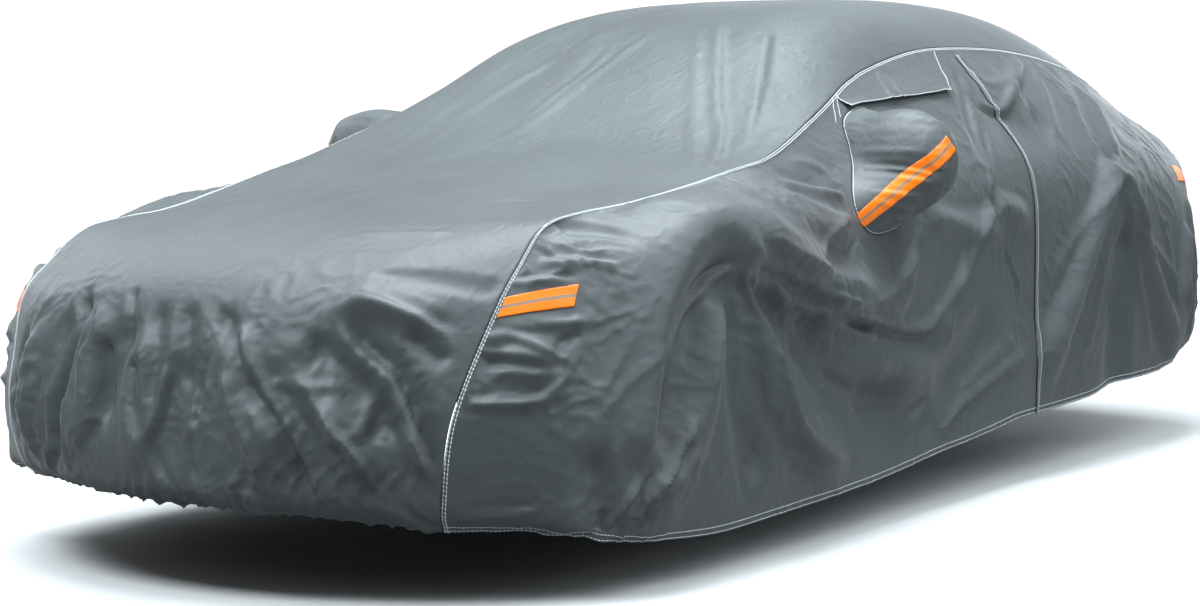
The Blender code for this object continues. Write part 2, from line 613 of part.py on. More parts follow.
def lay_on(name, tree, places, row_lifts, material, parent, line_in=None):
    """A thin piece laid on the skin at the points nearest to a grid of places.

    Where line_in is given, the places are carried to the skin along that line instead.

    Where the skin bulges between two places, both are lifted clear of the bulge.
    """
    spots = []
    normals = []
    for line in places:
        if line_in:
            found = [tree.ray_cast(place - 0.3 * line_in, line_in) for place in line]
        else:
            found = [tree.find_nearest(place) for place in line]
        spots.append([item[0] for item in found])
        normals.append([item[1] for item in found])
    lengthwise = len(places)
    across = len(places[0])
    lifts = [list(row_lifts) for line in places]
    pairs = []
    for n in range(lengthwise):
        for m in range(across):
            for other in ((n + 1, m), (n, m + 1), (n + 1, m + 1), (n + 1, m - 1)):
                if other[0] < lengthwise and 0 <= other[1] < across:
                    pairs.append(((n, m), other))
    for one, two in pairs:
        for part in (0.25, 0.5, 0.75):
            between = spots[one[0]][one[1]].lerp(spots[two[0]][two[1]], part)
            spot, normal, index, distance = tree.find_nearest(between)
            bulge = (spot - between).dot(normal)
            for n, m in (one, two):
                lifts[n][m] = max(lifts[n][m], row_lifts[m] + 1.1 * bulge)
    rows = [
        [spot + normal * lift for spot, normal, lift in zip(*line)]
        for line in zip(spots, normals, lifts)
    ]
    add_object(name, sheet_from_rows(rows, normals, TRIM), material, parent)


def make_flap(tree, parent):
    places = []
    for n in range(FLAP_STEPS + 1):
        share = n / FLAP_STEPS
        top = [a + (b - a) * share for a, b in zip(FLAP_TOP_FRONT, FLAP_TOP_REAR)]
        low = through(FLAP_LOWER_EDGE, share * (len(FLAP_LOWER_EDGE) - 1))
        line = []
        for m in range(len(FLAP_LIFTS)):
            part = m / (len(FLAP_LIFTS) - 1)
            line.append(side_point(1, top[0] + (low[0] - top[0]) * part, top[1] + (low[1] - top[1]) * part))
        places.append(line)
    lay_on("left_vent_flap", tree, places, FLAP_LIFTS, "cover_cloth", parent)


def lay_strip(name, tree, corners, parent, line_in=None):
    """A strip between four corners: upper and lower at its start, upper and lower at its end."""
    upper_start, lower_start, upper_end, lower_end = corners
    steps = max(2, round((upper_end - upper_start).length / STRIP_STEP))
    places = []
    for n in range(steps + 1):
        upper = upper_start.lerp(upper_end, n / steps)
        lower = lower_start.lerp(lower_end, n / steps)
        places.append([upper.lerp(lower, m / STRIP_ROWS) for m in range(STRIP_ROWS + 1)])
    lifts = [BAG_STRIP_LIFT if line_in else STRIP_LIFT] * (STRIP_ROWS + 1)
    lay_on(name, tree, places, lifts, "reflective_orange", parent, line_in)


def main():
    clear_scene()
    carrier = bpy.data.objects.new("under_the_roof", None)
    bpy.context.scene.collection.objects.link(carrier)
    carrier.location = -ROOF_MOUNT
    skin = make_skin()
    tree = BVHTree.FromBMesh(skin)
    skin_at = skin_finder(skin)
    for number, name in enumerate(PIECES):
        add_object(name, cut_panel(skin, number), "cover_cloth", carrier)
    make_flap(tree, carrier)
    make_placket(skin_at, carrier)
    for name, side, start, end in SIDE_STRIPS:
        corners = [side_point(side, row[0], down) for row in (start, end) for down in row[1:]]
        lay_strip(name, tree, corners, carrier)
    for name, side in (("left_mirror_strip", 1), ("right_mirror_strip", -1)):
        corners = [Vector((side * x * CM, y * CM, z * CM)) for x, y, z in MIRROR_STRIP]
        inwards = Vector(MIRROR_STRIP_LINE)
        inwards.x *= side
        lay_strip(name, tree, corners, carrier, inwards)


main()
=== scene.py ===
# %% [markdown]
# A fitted cover, dressed for the camera.
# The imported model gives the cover's solids. They carry the main folds, but they are coarse.
# Each panel is made again here as a thin sheet on the same form, fine enough for creases, gathers and
# crumples, and it then stands for its solid. The cells go from the studio and the form of the cover to
# its folds, the cloths, the trim and the stitches.

# %% Load the frame
import math

import bmesh
import bpy
import numpy as np
from mathutils import Matrix, Vector
from mathutils.bvhtree import BVHTree


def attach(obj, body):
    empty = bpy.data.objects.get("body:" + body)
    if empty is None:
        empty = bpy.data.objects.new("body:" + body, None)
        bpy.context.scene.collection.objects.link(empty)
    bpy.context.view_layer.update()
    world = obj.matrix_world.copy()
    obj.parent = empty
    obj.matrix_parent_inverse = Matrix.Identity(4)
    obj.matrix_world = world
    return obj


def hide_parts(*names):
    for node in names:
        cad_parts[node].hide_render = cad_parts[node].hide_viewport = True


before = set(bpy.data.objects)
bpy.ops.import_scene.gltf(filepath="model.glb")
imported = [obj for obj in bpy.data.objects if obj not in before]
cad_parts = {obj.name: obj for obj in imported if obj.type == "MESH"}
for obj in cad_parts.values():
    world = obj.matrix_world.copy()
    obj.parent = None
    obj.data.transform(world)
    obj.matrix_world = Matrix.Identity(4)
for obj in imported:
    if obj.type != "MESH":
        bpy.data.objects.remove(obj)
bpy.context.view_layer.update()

print("solids:", sorted(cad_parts))

# %% [markdown]
# The camera stands low, off the left front corner, and looks along the side. A long lens keeps the far
# end large. Its numbers are metres from the point under the roof, which is the origin of the finished
# pieces. The pieces themselves are made in measures from the floor and the cover's middle, as a maker
# would, and the last cell moves them all to the origin.

# %% Camera
ROOF = np.array([0.0, 0.80, 1.499])       # the origin, measured from the floor and the cover's middle
FILM_WIDTH = 36
LONG_LENS = 84
CAMERA_PLACE = (4.2141, -8.2527, -0.3334)
TILTED_DOWN, TURNED_LEFT = 0.0714, 0.5404

lens = bpy.data.cameras.new("camera")
lens.lens = LONG_LENS
lens.sensor_width = FILM_WIDTH
camera = bpy.data.objects.new("camera", lens)
camera.location = CAMERA_PLACE
camera.rotation_euler = (math.pi / 2 - TILTED_DOWN, 0, TURNED_LEFT)
bpy.context.scene.collection.objects.link(camera)
bpy.context.scene.camera = camera
print("camera:", LONG_LENS, "mm lens at", CAMERA_PLACE)

# %% [markdown]
# In the photograph, a white floor and a white background run into each other. A curved backdrop would
# do that too, but it would stand in the way of the views from behind. So the floor is
# one big square. Near the cover it takes shadows as any pale floor does, and further out it glows, to
# the camera's eye alone, so that no horizon shows. The light that bounces off it is darker than what
# the camera sees, because else it would light the cloth from below.

# %% Floor
FLOOR = -ROOF[2]
FLOOR_SIZE = 60
GLOW_FROM, GLOW_FULL = 3.0, 8.0           # metres from the middle
SEEN_GREY = (0.88, 0.88, 0.88, 1)
BOUNCE_GREY = (0.24, 0.24, 0.24, 1)


def floor_paint():
    """Pale matt paint that glows far from the middle where the camera looks at it."""
    paint = bpy.data.materials.new("floor paint")
    paint.use_nodes = True
    nodes = paint.node_tree.nodes
    link = paint.node_tree.links.new
    shader = nodes["Principled BSDF"]
    shader.inputs["Roughness"].default_value = 0.9
    shader.inputs["Specular IOR Level"].default_value = 0.1
    shader.inputs["Emission Color"].default_value = (1, 1, 1, 1)
    seen = nodes.new("ShaderNodeLightPath")
    grey = nodes.new("ShaderNodeMix")
    grey.data_type = "RGBA"
    grey.inputs["A"].default_value = BOUNCE_GREY
    grey.inputs["B"].default_value = SEEN_GREY
    link(seen.outputs["Is Camera Ray"], grey.inputs["Factor"])
    link(grey.outputs["Result"], shader.inputs["Base Color"])
    place = nodes.new("ShaderNodeTexCoord")
    distance = nodes.new("ShaderNodeVectorMath")
    distance.operation = "LENGTH"
    far = nodes.new("ShaderNodeMapRange")
    far.interpolation_type = "SMOOTHSTEP"
    far.inputs["From Min"].default_value = GLOW_FROM
    far.inputs["From Max"].default_value = GLOW_FULL
    glow = nodes.new("ShaderNodeMath")
    glow.operation = "MULTIPLY"
    link(place.outputs["Object"], distance.inputs[0])
    link(distance.outputs["Value"], far.inputs["Value"])
    link(far.outputs["Result"], glow.inputs[0])
    link(seen.outputs["Is Camera Ray"], glow.inputs[1])
    link(glow.outputs["Value"], shader.inputs["Emission Strength"])
    return paint


mesh = bpy.data.meshes.new("floor")
bm = bmesh.new()
bmesh.ops.create_grid(bm, x_segments=1, y_segments=1, size=FLOOR_SIZE)
bmesh.ops.translate(bm, vec=(0, 0, FLOOR), verts=bm.verts)
bm.to_mesh(mesh)
bm.free()
mesh.materials.append(floor_paint())
floor = bpy.data.objects.new("floor", mesh)
bpy.context.scene.collection.objects.link(floor)
print("floor:", round(FLOOR, 3), "m below the origin")

# %% [markdown]
# The photograph looks as if one very large soft light hangs overhead. The cloth is dark and coated, so
# what looks pale on its top is that light, mirrored at a flat angle. A bright white world would be the
# simplest light, but it would fill every fold. So the world is white only where the camera looks at it
# and dim as a light. Eight soft rectangles light the cloth, set by comparing its tones with the picture.

# %% World and lights
WORLD_AS_LIGHT, WORLD_AS_SEEN = 0.10, 1.15
LIGHT_COLOUR = (0.86, 0.95, 1.0)
LIGHTS = (
    # name, place, aim, size, watts
    ("overhead", (0.2, -1.0, 4.3), (0.2, -0.9, 0), (2.4, 8.0), 520),
    ("overhead, far side", (-2.3, -1.0, 4.3), (-2.0, -0.9, 0), (2.4, 8.0), 280),
    ("left, high", (4.6, 0.0, 4.8), (0.6, -0.4, -0.5), (2.4, 8.0), 260),
    ("left", (6.5, -0.5, 3.2), (0.6, -0.8, -0.5), (3.0, 8.0), 210),
    ("left front", (4.8, -5.8, 4.5), (0.6, -1.8, -0.6), (3.0, 3.0), 70),
    ("front", (-0.5, -7.0, 4.6), (0, -2.3, -0.8), (5.0, 2.4), 460),
    ("right", (-7.0, 0.5, 2.2), (-0.6, -0.5, -0.5), (3.0, 6.0), 130),
    ("rear", (-2.0, 8.0, 0.8), (0, 1.5, -0.8), (6.0, 2.0), 170),
)


def white_world():
    world = bpy.data.worlds.new("white room")
    world.use_nodes = True
    nodes = world.node_tree.nodes
    link = world.node_tree.links.new
    sky = nodes["Background"]
    sky.inputs["Color"].default_value = (1, 1, 1, 1)
    seen = nodes.new("ShaderNodeLightPath")
    strength = nodes.new("ShaderNodeMapRange")
    strength.inputs["To Min"].default_value = WORLD_AS_LIGHT
    strength.inputs["To Max"].default_value = WORLD_AS_SEEN
    link(seen.outputs["Is Camera Ray"], strength.inputs["Value"])
    link(strength.outputs["Result"], sky.inputs["Strength"])
    return world


def soft_light(name, place, aim, size, watts):
    """A rectangular soft light that faces its aim."""
    data = bpy.data.lights.new(name, "AREA")
    data.shape = "RECTANGLE"
    data.size, data.size_y = size
    data.energy = watts
    data.color = LIGHT_COLOUR
    item = bpy.data.objects.new(name, data)
    item.location = place
    item.rotation_euler = (Vector(aim) - Vector(place)).to_track_quat("-Z", "Y").to_euler()
    bpy.context.scene.collection.objects.link(item)


bpy.context.scene.world = white_world()
for name, place, aim, size, watts in LIGHTS:
    soft_light(name, place, aim, size, watts)
bpy.context.scene.view_settings.view_transform = "Standard"
print("lights:", [row[0] for row in LIGHTS])

# %% [markdown]
# The form of the cover comes from sections, as a boat's hull does. A flat cloth could be dropped over
# a block instead, but then its seams and hems would land by chance, and here each lies where it shows.
# Each row of SIDE is one section of the left side, from the seam with the top sheet down to the hem:
# across, along and above the floor, in centimetres. A smooth curve runs through every column, so a
# place on the side is two numbers: how many sections along, and how many columns down.

# %% Sections of the side and the middle line
CM = 0.01
SIDE = np.array((
    ((70, -186, 88.5), (71, -197, 80), (70.5, -207.5, 69), (67, -220, 45), (64, -220, 25), (62, -216, 18)),
    ((71.5, -170, 90.5), (78.5, -182, 83), (81.5, -194, 71), (82.5, -204.5, 45), (79, -206, 23),
     (76.5, -202, 17.5)),
    ((73, -152, 92), (84, -162, 86.5), (90.5, -172, 75.5), (93, -184, 45), (92, -190, 20),
     (89.5, -190, 14.5)),
    ((75, -130, 95), (86, -136, 91), (93.5, -142, 82), (95, -146, 46), (95, -149, 18), (94.5, -150, 11)),
    ((76, -105, 99), (86, -106, 93), (92.5, -108, 80), (94.5, -108, 45), (95, -109, 19), (95, -110, 11.5)),
    ((75.5, -80, 103), (83, -79, 95), (90.5, -85, 82), (93, -80, 45), (95, -76, 20), (95, -75, 12.5)),
    ((69.4, -39, 114.5), (78, -37.5, 103.5), (89, -58, 85), (92, -50, 48), (94, -46, 20.5), (94, -45, 13.5)),
    ((65, -12, 123), (76.5, -9, 108.5), (88, -16, 89.5), (91, -12, 50), (93, -9, 23), (93, -8, 16)),
    ((61, 15, 128), (75, 17, 112), (87, 20, 92), (90.5, 22, 51), (93, 24, 25), (93, 25, 18)),
    ((58.5, 47, 132.5), (74, 47, 115), (87, 48, 93), (90.5, 48, 52), (93, 48, 27), (93, 48, 20)),
    ((58, 74.5, 134), (74, 72.5, 115), (88, 71, 92), (91, 67.5, 52), (93, 65, 27.5), (93, 64, 20.5)),
    ((58, 112, 134), (75, 110, 116), (90, 108, 92), (93, 106, 54), (93.5, 105, 28.5), (93, 105, 21.5)),
    ((59, 148, 131.5), (77, 142, 114), (92, 138, 91), (94, 140, 56), (93.5, 142, 31), (93, 142, 24)),
    ((60, 180, 126), (77, 180, 109), (90, 175, 90), (93.5, 175, 57), (93.5, 176, 32), (93, 176, 25)),
    ((63.5, 210, 114), (76.5, 208, 104), (88, 206, 88), (93.5, 205, 57), (93, 204, 35), (90.5, 201, 29)),
    ((70, 229, 105), (76, 232, 99), (82, 231, 87), (87, 230, 56), (88.5, 223, 36), (85.5, 215, 30.5)),
    ((75.5, 241, 96.5), (77.5, 242.5, 90.5), (78.5, 244.5, 80), (79.5, 243.5, 56), (77.5, 237, 36),
     (74.5, 230, 32)),
)) * CM

# The top sheet's middle line: along, above the floor, and fullness, which keeps the sheet flat across.
# FRONT and REAR carry it on down the two ends, from the flat part to the hem.
MIDDLE = np.array((
    (-213, 84.5, 2.3), (-188, 90, 2.3), (-162, 94, 2.3), (-136, 97, 2.3), (-108, 101, 2.3),
    (-84, 107, 2.7), (-50, 126, 3.4), (-20, 138.6, 4.2), (12, 145.6, 4.4), (48, 148.8, 4.0),
    (80, 150.1, 3.6), (114, 150.5, 3.5), (150, 148.5, 3.4), (185, 142, 3.0), (215, 129, 2.6),
    (238, 115, 2.4), (255, 104, 2.4),
)) * (CM, CM, 1)
FRONT = np.array(((-213, 84.5), (-230, 75), (-237.5, 64), (-242.5, 43), (-241, 27), (-235, 22.5))) * CM
REAR = np.array(((255, 104), (261, 97), (265, 85), (264, 58), (257, 35), (249, 32.5))) * CM
END_FULLNESS = 2.4
SWEEP = 2.2                               # how late a line across the sheet bends back to the seam
SECTIONS = len(SIDE) - 1
ZIP_LINE = 10                             # the section that the zip runs down
print("sections:", SECTIONS, "of", SIDE.shape[1], "points")

# %% [markdown]
# Two helpers do most of the work in this file. ease() turns any measure into a soft switch between 0
# and 1, and through() reads the smooth curve through a table's rows. Blender has such curves too, but
# here many thousand places are read at once, which NumPy does in one go.

# %% Smooth steps and smooth curves
def ease(value):
    """0 below 0, 1 above 1, a soft S between."""
    value = np.clip(value, 0, 1)
    return value * value * (3 - 2 * value)


def curve_between(a, b, c, d, part):
    """The smooth curve from b to c, which heads for them from a and leaves them for d."""
    return 0.5 * (2 * b + (c - a) * part + (2 * a - 5 * b + 4 * c - d) * part ** 2
                  + (3 * b - a - 3 * c + d) * part ** 3)


def through(rows, place):
    """The smooth curve through evenly counted rows, read at many places at once."""
    last = len(rows) - 1
    place = np.clip(place, 0, last)
    row = np.minimum(place.astype(int), last - 1)
    part = (place - row).reshape((-1,) + (1,) * (rows.ndim - 1))
    padded = np.concatenate([[2 * rows[0] - rows[1]], rows, [2 * rows[-1] - rows[-2]]])
    a, b, c, d = (padded[row + n] for n in range(4))
    return curve_between(a, b, c, d, part)


print("half way along, the seam lies at", through(SIDE, np.array([SECTIONS / 2]))[0, 0].round(3))

# %% [markdown]
# With them, two functions give the whole form: one for the sides and one for the top sheet. A third,
# settle, makes the right-hand front corner uneven, as a cloth thrown over by hand always is.

# %% The form of the cover
def settle(points):
    """The right-hand front corner lies a little lower and fuller, and its hem rides up. In metres."""
    x, y, z = points[..., 0], points[..., 1], points[..., 2]
    far = ease(-x / 0.65)
    drop = 0.045 * ease((-0.50 - y) / 1.00) * ease((z - 0.62) / 0.22)
    lift = 0.055 * ease((-1.35 - y) / 0.50) * (1 - ease((z - 0.10) / 0.40))
    out = 0.025 * ease((-1.50 - y) / 0.40) * ease((z - 0.50) / 0.20)
    return np.stack([x - far * out, y, z + far * (lift - drop)], -1)


def left_place(along, down):
    """Points of the left side for two arrays of the same shape, before settling."""
    shape = along.shape
    along, down = along.ravel(), down.ravel()
    columns = through(SIDE, along)                       # (places, columns, 3)
    last = columns.shape[1] - 1
    down = np.clip(down, 0, last)
    low = np.minimum(down.astype(int), last - 1)
    part = (down - low)[:, None]
    ends = [2 * columns[:, :1] - columns[:, 1:2], columns, 2 * columns[:, -1:] - columns[:, -2:-1]]
    padded = np.concatenate(ends, 1)
    pick = np.arange(len(down))
    a, b, c, d = (padded[pick, low + n] for n in range(4))
    return curve_between(a, b, c, d, part).reshape(shape + (3,))


def side_place(side, along, down):
    """Points of either side: 1 is the left, and -1 is the right."""
    points = left_place(along, down)
    points[..., 0] *= side
    return settle(points)


def top_place(place, across):
    """Points of the top sheet. place runs from the front hem, below 0, to the rear hem, above 16."""
    shape = place.shape
    place, across = place.ravel(), across.ravel()
    along = np.clip(place, 0, SECTIONS)
    down = np.where(place < 0, -place, np.maximum(place - SECTIONS, 0))
    seam = left_place(along, down)
    row = through(MIDDLE, along)
    front, rear = through(FRONT, down), through(REAR, down)
    is_front, is_rear = place < 0, place > SECTIONS
    middle = np.where(is_front[:, None], front, np.where(is_rear[:, None], rear, row[:, :2]))
    fullness = np.where(is_front | is_rear, END_FULLNESS, row[:, 2])
    out = np.abs(across)
    points = np.stack([
        seam[:, 0] * across,
        middle[:, 0] + (seam[:, 1] - middle[:, 0]) * out ** SWEEP,
        middle[:, 1] + (seam[:, 2] - middle[:, 1]) * out ** fullness,
    ], -1)
    return settle(points).reshape(shape + (3,))


print("roof height:", round(float(top_place(np.array([10.0]), np.array([0.0]))[0, 2]), 3))

# %% [markdown]
# Folds are drawn as a dressmaker would chalk them: a line on the cloth, how high the fold stands and
# how wide it is. They could be sculpted by hand, but a row of a table is easier to move and to measure.
# A ridge is a soft swelling, or a trough where its height is negative. A lip has its crest on the left
# of its line and a valley on the right. These big folds are the ones that the solids have too.

# %% Main folds
SIDE_MAIN = (
    # kind, height, widths and fades at both ends, path of (along, above the floor), in centimetres
    ("lip", 3.0, (5, 10), (10, 30), ((-178, 28), (-173, 47), (-166, 63), (-155, 74), (-142, 80),
                                     (-119, 74), (-95, 66), (-67, 58), (-46, 53))),
    ("ridge", 3.3, (7, 13), (8, 20), ((-147, 74), (-149, 58), (-156, 40), (-172, 24), (-183, 15))),
    ("ridge", 3.6, (7, 13), (8, 25), ((-131, 76), (-122, 59), (-114, 42), (-95, 28), (-70, 20))),
    ("ridge", -3.0, (6, 12), (10, 10), ((-137, 70), (-135, 55), (-132, 38), (-122, 18))),
    ("lip", 2.4, (5, 8), (10, 15), ((-128, 84), (-111, 75), (-77, 62), (-56, 57), (-32, 55))),
    ("lip", 2.4, (5, 8), (10, 15), ((-95, 62), (-78, 48), (-66, 42), (-50, 41), (-30, 44))),
    ("ridge", 2.7, (8, 14), (15, 25), ((-142, 81), (-99, 68), (-55, 49), (6, 31))),
    ("ridge", -2.1, (8, 12), (15, 20), ((-66, 36), (-30, 32), (10, 40), (40, 55))),
    ("ridge", 2.1, (5, 9), (6, 15), ((-58, 80), (-91, 87), (-112, 90))),
    ("ridge", -1.8, (5, 9), (6, 15), ((-58, 78), (-77, 74), (-98, 72))),
    ("ridge", 2.1, (5, 9), (6, 15), ((-19, 76), (-29, 64), (-47, 55))),
    ("ridge", 1.8, (5, 9), (6, 15), ((-9, 84), (24, 79), (51, 79))),
    ("ridge", 2.1, (5, 9), (6, 15), ((39, 87), (70, 79))),
    ("ridge", -1.8, (5, 8), (8, 12), ((70, 128), (52, 112), (40, 96))),
    ("lip", 1.8, (5, 6), (6, 6), ((68, 126), (74, 116), (90, 112), (104, 118))),
    ("ridge", 1.8, (6, 9), (10, 15), ((165, 122), (150, 108), (135, 94))),
    ("ridge", 3.6, (7, 13), (5, 20), ((134, 97), (112, 76), (96, 58), (65, 28))),
    ("ridge", 3.6, (7, 12), (5, 20), ((134, 97), (148, 76), (175, 44), (197, 28))),
    ("ridge", -3.3, (9, 19), (12, 30), ((141, 80), (137, 55), (132, 22), (130, 9))),
    ("ridge", 2.4, (6, 10), (8, 20), ((205, 76), (196, 55), (190, 30))),
    ("ridge", -2.4, (6, 9), (8, 20), ((218, 80), (222, 60), (220, 36))),
    ("ridge", 2.2, (6, 8), (8, 8), ((-213, 54), (-204, 57), (-197, 53))),
    ("ridge", -2.4, (5, 8), (8, 4), ((-196, 40), (-194, 26), (-191, 14))),
)
FRONT_MAIN = (
    # the same, with a path of (across, above the floor)
    ("ridge", -3.4, (5, 8), (6, 10), ((-31, 72), (-36, 61), (-37, 46), (-40, 27))),
    ("ridge", 2.4, (5, 8), (8, 10), ((-22, 70), (-27, 54), (-28, 30))),
    ("ridge", -2.5, (5, 7), (8, 12), ((-14, 68), (-17, 52), (-18, 36))),
    ("ridge", 2.0, (5, 7), (8, 12), ((-5, 66), (-7, 50), (-8, 28))),
    ("ridge", -2.7, (6, 8), (8, 12), ((5, 60), (3, 42), (2, 27))),
    ("ridge", 2.7, (6, 8), (8, 12), ((16, 66), (25, 48), (34, 31))),
    ("ridge", -2.4, (6, 8), (8, 10), ((23, 58), (35, 43), (40, 25))),
    ("lip", 2.7, (5, 6), (6, 8), ((36, 68), (46, 63), (54, 55), (59, 46), (62, 38))),
    ("ridge", 2.2, (5, 6), (8, 10), ((39, 51), (46, 41), (51, 28))),
    ("ridge", 1.9, (5, 6), (10, 5), ((41, 72), (53, 69), (61, 65))),
    ("ridge", 2.2, (6, 9), (8, 12), ((-48, 66), (-52, 48), (-54, 30))),
    ("ridge", -2.5, (5, 8), (8, 12), ((-58, 62), (-60, 45), (-60, 30))),
)
TOP_MAIN = (
    # the same, with a path of (across, along)
    ("ridge", 1.2, (9, 12), (25, 40), ((-11, -6), (-4, -70), (12, -183))),
    ("ridge", 1.2, (6, 8), (15, 15), ((31, -4), (50, -40), (65, -67))),
    ("ridge", -1.0, (6, 8), (15, 15), ((-34, -10), (-44, -50), (-38, -110))),
    ("ridge", 1.0, (8, 10), (20, 20), ((-46, -80), (-20, -120), (20, -150))),
    ("ridge", -1.2, (9, 10), (20, 20), ((-30, 150), (-10, 190), (-14, 230))),
    ("ridge", 1.2, (8, 10), (20, 20), ((26, 156), (18, 196), (24, 232))),
)
REAR_MAIN = (
    # the same, with a path of (across, above the floor)
    ("ridge", -2.4, (6, 9), (10, 12), ((-42, 82), (-40, 60), (-42, 38))),
    ("ridge", 2.2, (7, 9), (10, 12), ((-16, 80), (-18, 58), (-14, 38))),
    ("ridge", -2.1, (6, 9), (10, 12), ((10, 84), (6, 62), (8, 40))),
    ("ridge", 2.2, (7, 9), (10, 12), ((36, 80), (40, 58), (38, 38))),
)
print("main folds:", len(SIDE_MAIN), len(FRONT_MAIN), len(TOP_MAIN), len(REAR_MAIN))

# %% [markdown]
# The solids stop at the main folds, because they must stay light. A cloth this stiff also makes sharp
# creases. A crease is a ridge with a sharp back, and a tuck has a crest that falls steeply into a
# valley on the right of its line. A noise texture would crumple the cloth too, but everywhere alike.
# These rows were placed in the cover's own sizes, where the real cloth shows a crease.

# %% Creases of the front
FRONT_FINE = (
    ("tuck", 1.5, (2.5, 4.5), (6, 8), ((-42, 26), (-40, 34), (-39, 45), (-36, 56), (-34, 64), (-36, 73))),
    ("ridge", -0.7, (1.6, 3), (5, 8), ((-26, 69), (-26, 61), (-29, 56), (-28, 47), (-28, 39))),
    ("ridge", -1.5, (2, 6), (2, 12), ((-21, 61), (-20, 51), (-19, 42), (-17, 33))),
    ("ridge", -1.3, (2, 5), (2, 10), ((-9, 57), (-8, 47), (-5, 36))),
    ("ridge", -0.9, (1.5, 4), (2, 8), ((-16, 73), (-13, 63), (-13, 56))),
    ("ridge", -0.9, (4, 4.5), (5, 12), ((-5, 71), (-4, 58), (-3, 40))),
    ("ridge", -0.9, (4, 5), (5, 12), ((3, 71), (6, 58), (13, 40))),
    ("ridge", -1.0, (3.5, 5), (5, 12), ((12, 71), (20, 58), (28, 40))),
    ("tuck", 0.9, (2, 3), (4, 8), ((-3, 36), (0, 46), (2, 58))),
    ("tuck", -0.8, (2, 3), (4, 8), ((11, 40), (12, 52), (13, 62))),
    ("crease", 1.3, (2.5, 4), (6, 10), ((16, 56), (21, 44), (26, 35), (28, 25))),
    ("tuck", 1.3, (2.5, 4), (6, 10), ((18, 66), (24, 54), (32, 44), (37, 34), (40, 23))),
    ("crease", 0.9, (2, 3.5), (5, 8), ((35, 54), (41, 46), (47, 35), (49, 27))),
    ("tuck", 1.9, (3, 5), (5, 8), ((64, 31), (61, 40), (58, 48), (54, 55), (46, 62), (41, 69))),
    ("tuck", 1.3, (2.5, 4), (5, 6), ((65, 63), (58, 67), (50, 70), (41, 73))),
    ("ridge", -0.5, (1.6, 3.5), (9, 1), ((40, 77), (55, 76), (71, 73))),
    ("ridge", -1.1, (2, 3), (3, 4), ((55, 64), (61, 59), (66, 57))),
    ("crease", 0.8, (2, 3), (5, 5), ((-45, 55), (-60, 46), (-65, 41))),
    ("ridge", -1.0, (1.5, 4), (2, 6), ((-22, 42), (-23, 32))),
    ("ridge", -0.8, (2, 3.5), (3, 5), ((10, 41), (9, 35), (10, 27))),
    ("tuck", 0.7, (2, 3), (5, 5), ((3, 26), (-3, 34), (-6, 42))),
    ("crease", 0.7, (2, 3), (5, 5), ((53, 56), (51, 47), (48, 38))),
    ("crease", 0.6, (2, 2.5), (4, 4), ((-54, 60), (-52, 54), (-66, 49))),
    ("crease", 0.6, (2, 2.5), (5, 5), ((24, 54), (35, 52), (47, 52))),
    ("crease", 0.7, (2, 3), (4, 6), ((-50, 70), (-55, 60), (-60, 52))),
    ("tuck", 0.8, (2, 3), (5, 6), ((-47, 28), (-49, 40), (-46, 52))),
    ("crease", 0.9, (2, 3.5), (4, 6), ((-31, 48), (-33, 38), (-34, 27))),
    ("tuck", 0.9, (2, 3), (4, 8), ((54, 26), (50, 36), (41, 47))),
    ("crease", 0.7, (2, 3), (4, 6), ((32, 36), (35, 29), (36, 23))),
    ("ridge", -0.9, (2, 4), (3, 6), ((44, 40), (48, 33), (52, 25))),
)

print("creases of the front:", len(FRONT_FINE))

# %% [markdown]
# The flat part of the top sheet lies much smoother than the front. Its creases are low, half a
# centimetre or so, and most of them are long. They are drawn in the same way.

# %% Creases of the top
TOP_FINE = (
    ("crease", 0.45, (3, 4), (6, 8), ((38, -219), (46, -211), (57, -202))),
    ("tuck", 0.6, (3, 5), (6, 10), ((53, -197), (37, -202), (25, -208))),
    ("ridge", 0.35, (3, 5), (15, 15), ((4, -184), (3, -168), (-1, -148))),
    ("tuck", 0.45, (3, 4), (5, 6), ((51, -208), (40, -212), (30, -215))),
    ("tuck", 0.40, (3, 4), (25, 30), ((-4, -25), (0, -49), (-5, -71), (-10, -95), (-6, -124), (3, -157),
                                      (3, -179))),
    ("ridge", 0.45, (3, 5), (10, 15), ((-46, -90), (-39, -67), (-31, -55))),
    ("tuck", 0.45, (3, 4), (10, 20), ((-46, -78), (-30, -73), (-21, -58), (-15, -44), (-17, -16))),
    ("tuck", 0.9, (3, 4), (12, 15), ((74, -110), (58, -73), (48, -57), (23, -10))),
    ("crease", 0.6, (3, 4), (12, 15), ((19, -18), (48, -73), (72, -115))),
    ("tuck", 0.6, (3, 4), (10, 12), ((68, -78), (53, -41), (40, -9))),
    ("ridge", 0.4, (3, 4), (6, 8), ((38, -167), (46, -164), (55, -157))),
    ("tuck", 0.5, (3, 5), (15, 20), ((-24, -12), (-33, -40), (-41, -66), (-44, -92))),
    ("ridge", 0.4, (3, 4), (10, 15), ((-8, -20), (-14, -44), (-28, -70), (-33, -94))),
    ("tuck", 0.4, (3, 4), (10, 15), ((6, -22), (3, -52), (-6, -84), (-22, -112))),
    ("ridge", 0.35, (3, 4), (10, 15), ((-52, -36), (-55, -60), (-58, -86))),
    ("ridge", -0.5, (4, 5), (5, 8), ((-58, -150), (-50, -128), (-42, -112))),
    ("tuck", 0.45, (4, 5), (10, 15), ((36, 160), (41, 186), (47, 214))),
    ("tuck", 0.45, (4, 5), (10, 15), ((-30, 214), (-38, 190), (-41, 164))),
    ("ridge", 0.4, (4, 5), (12, 15), ((0, 168), (4, 196), (2, 226))),
)
print("creases of the top:", len(TOP_FINE))

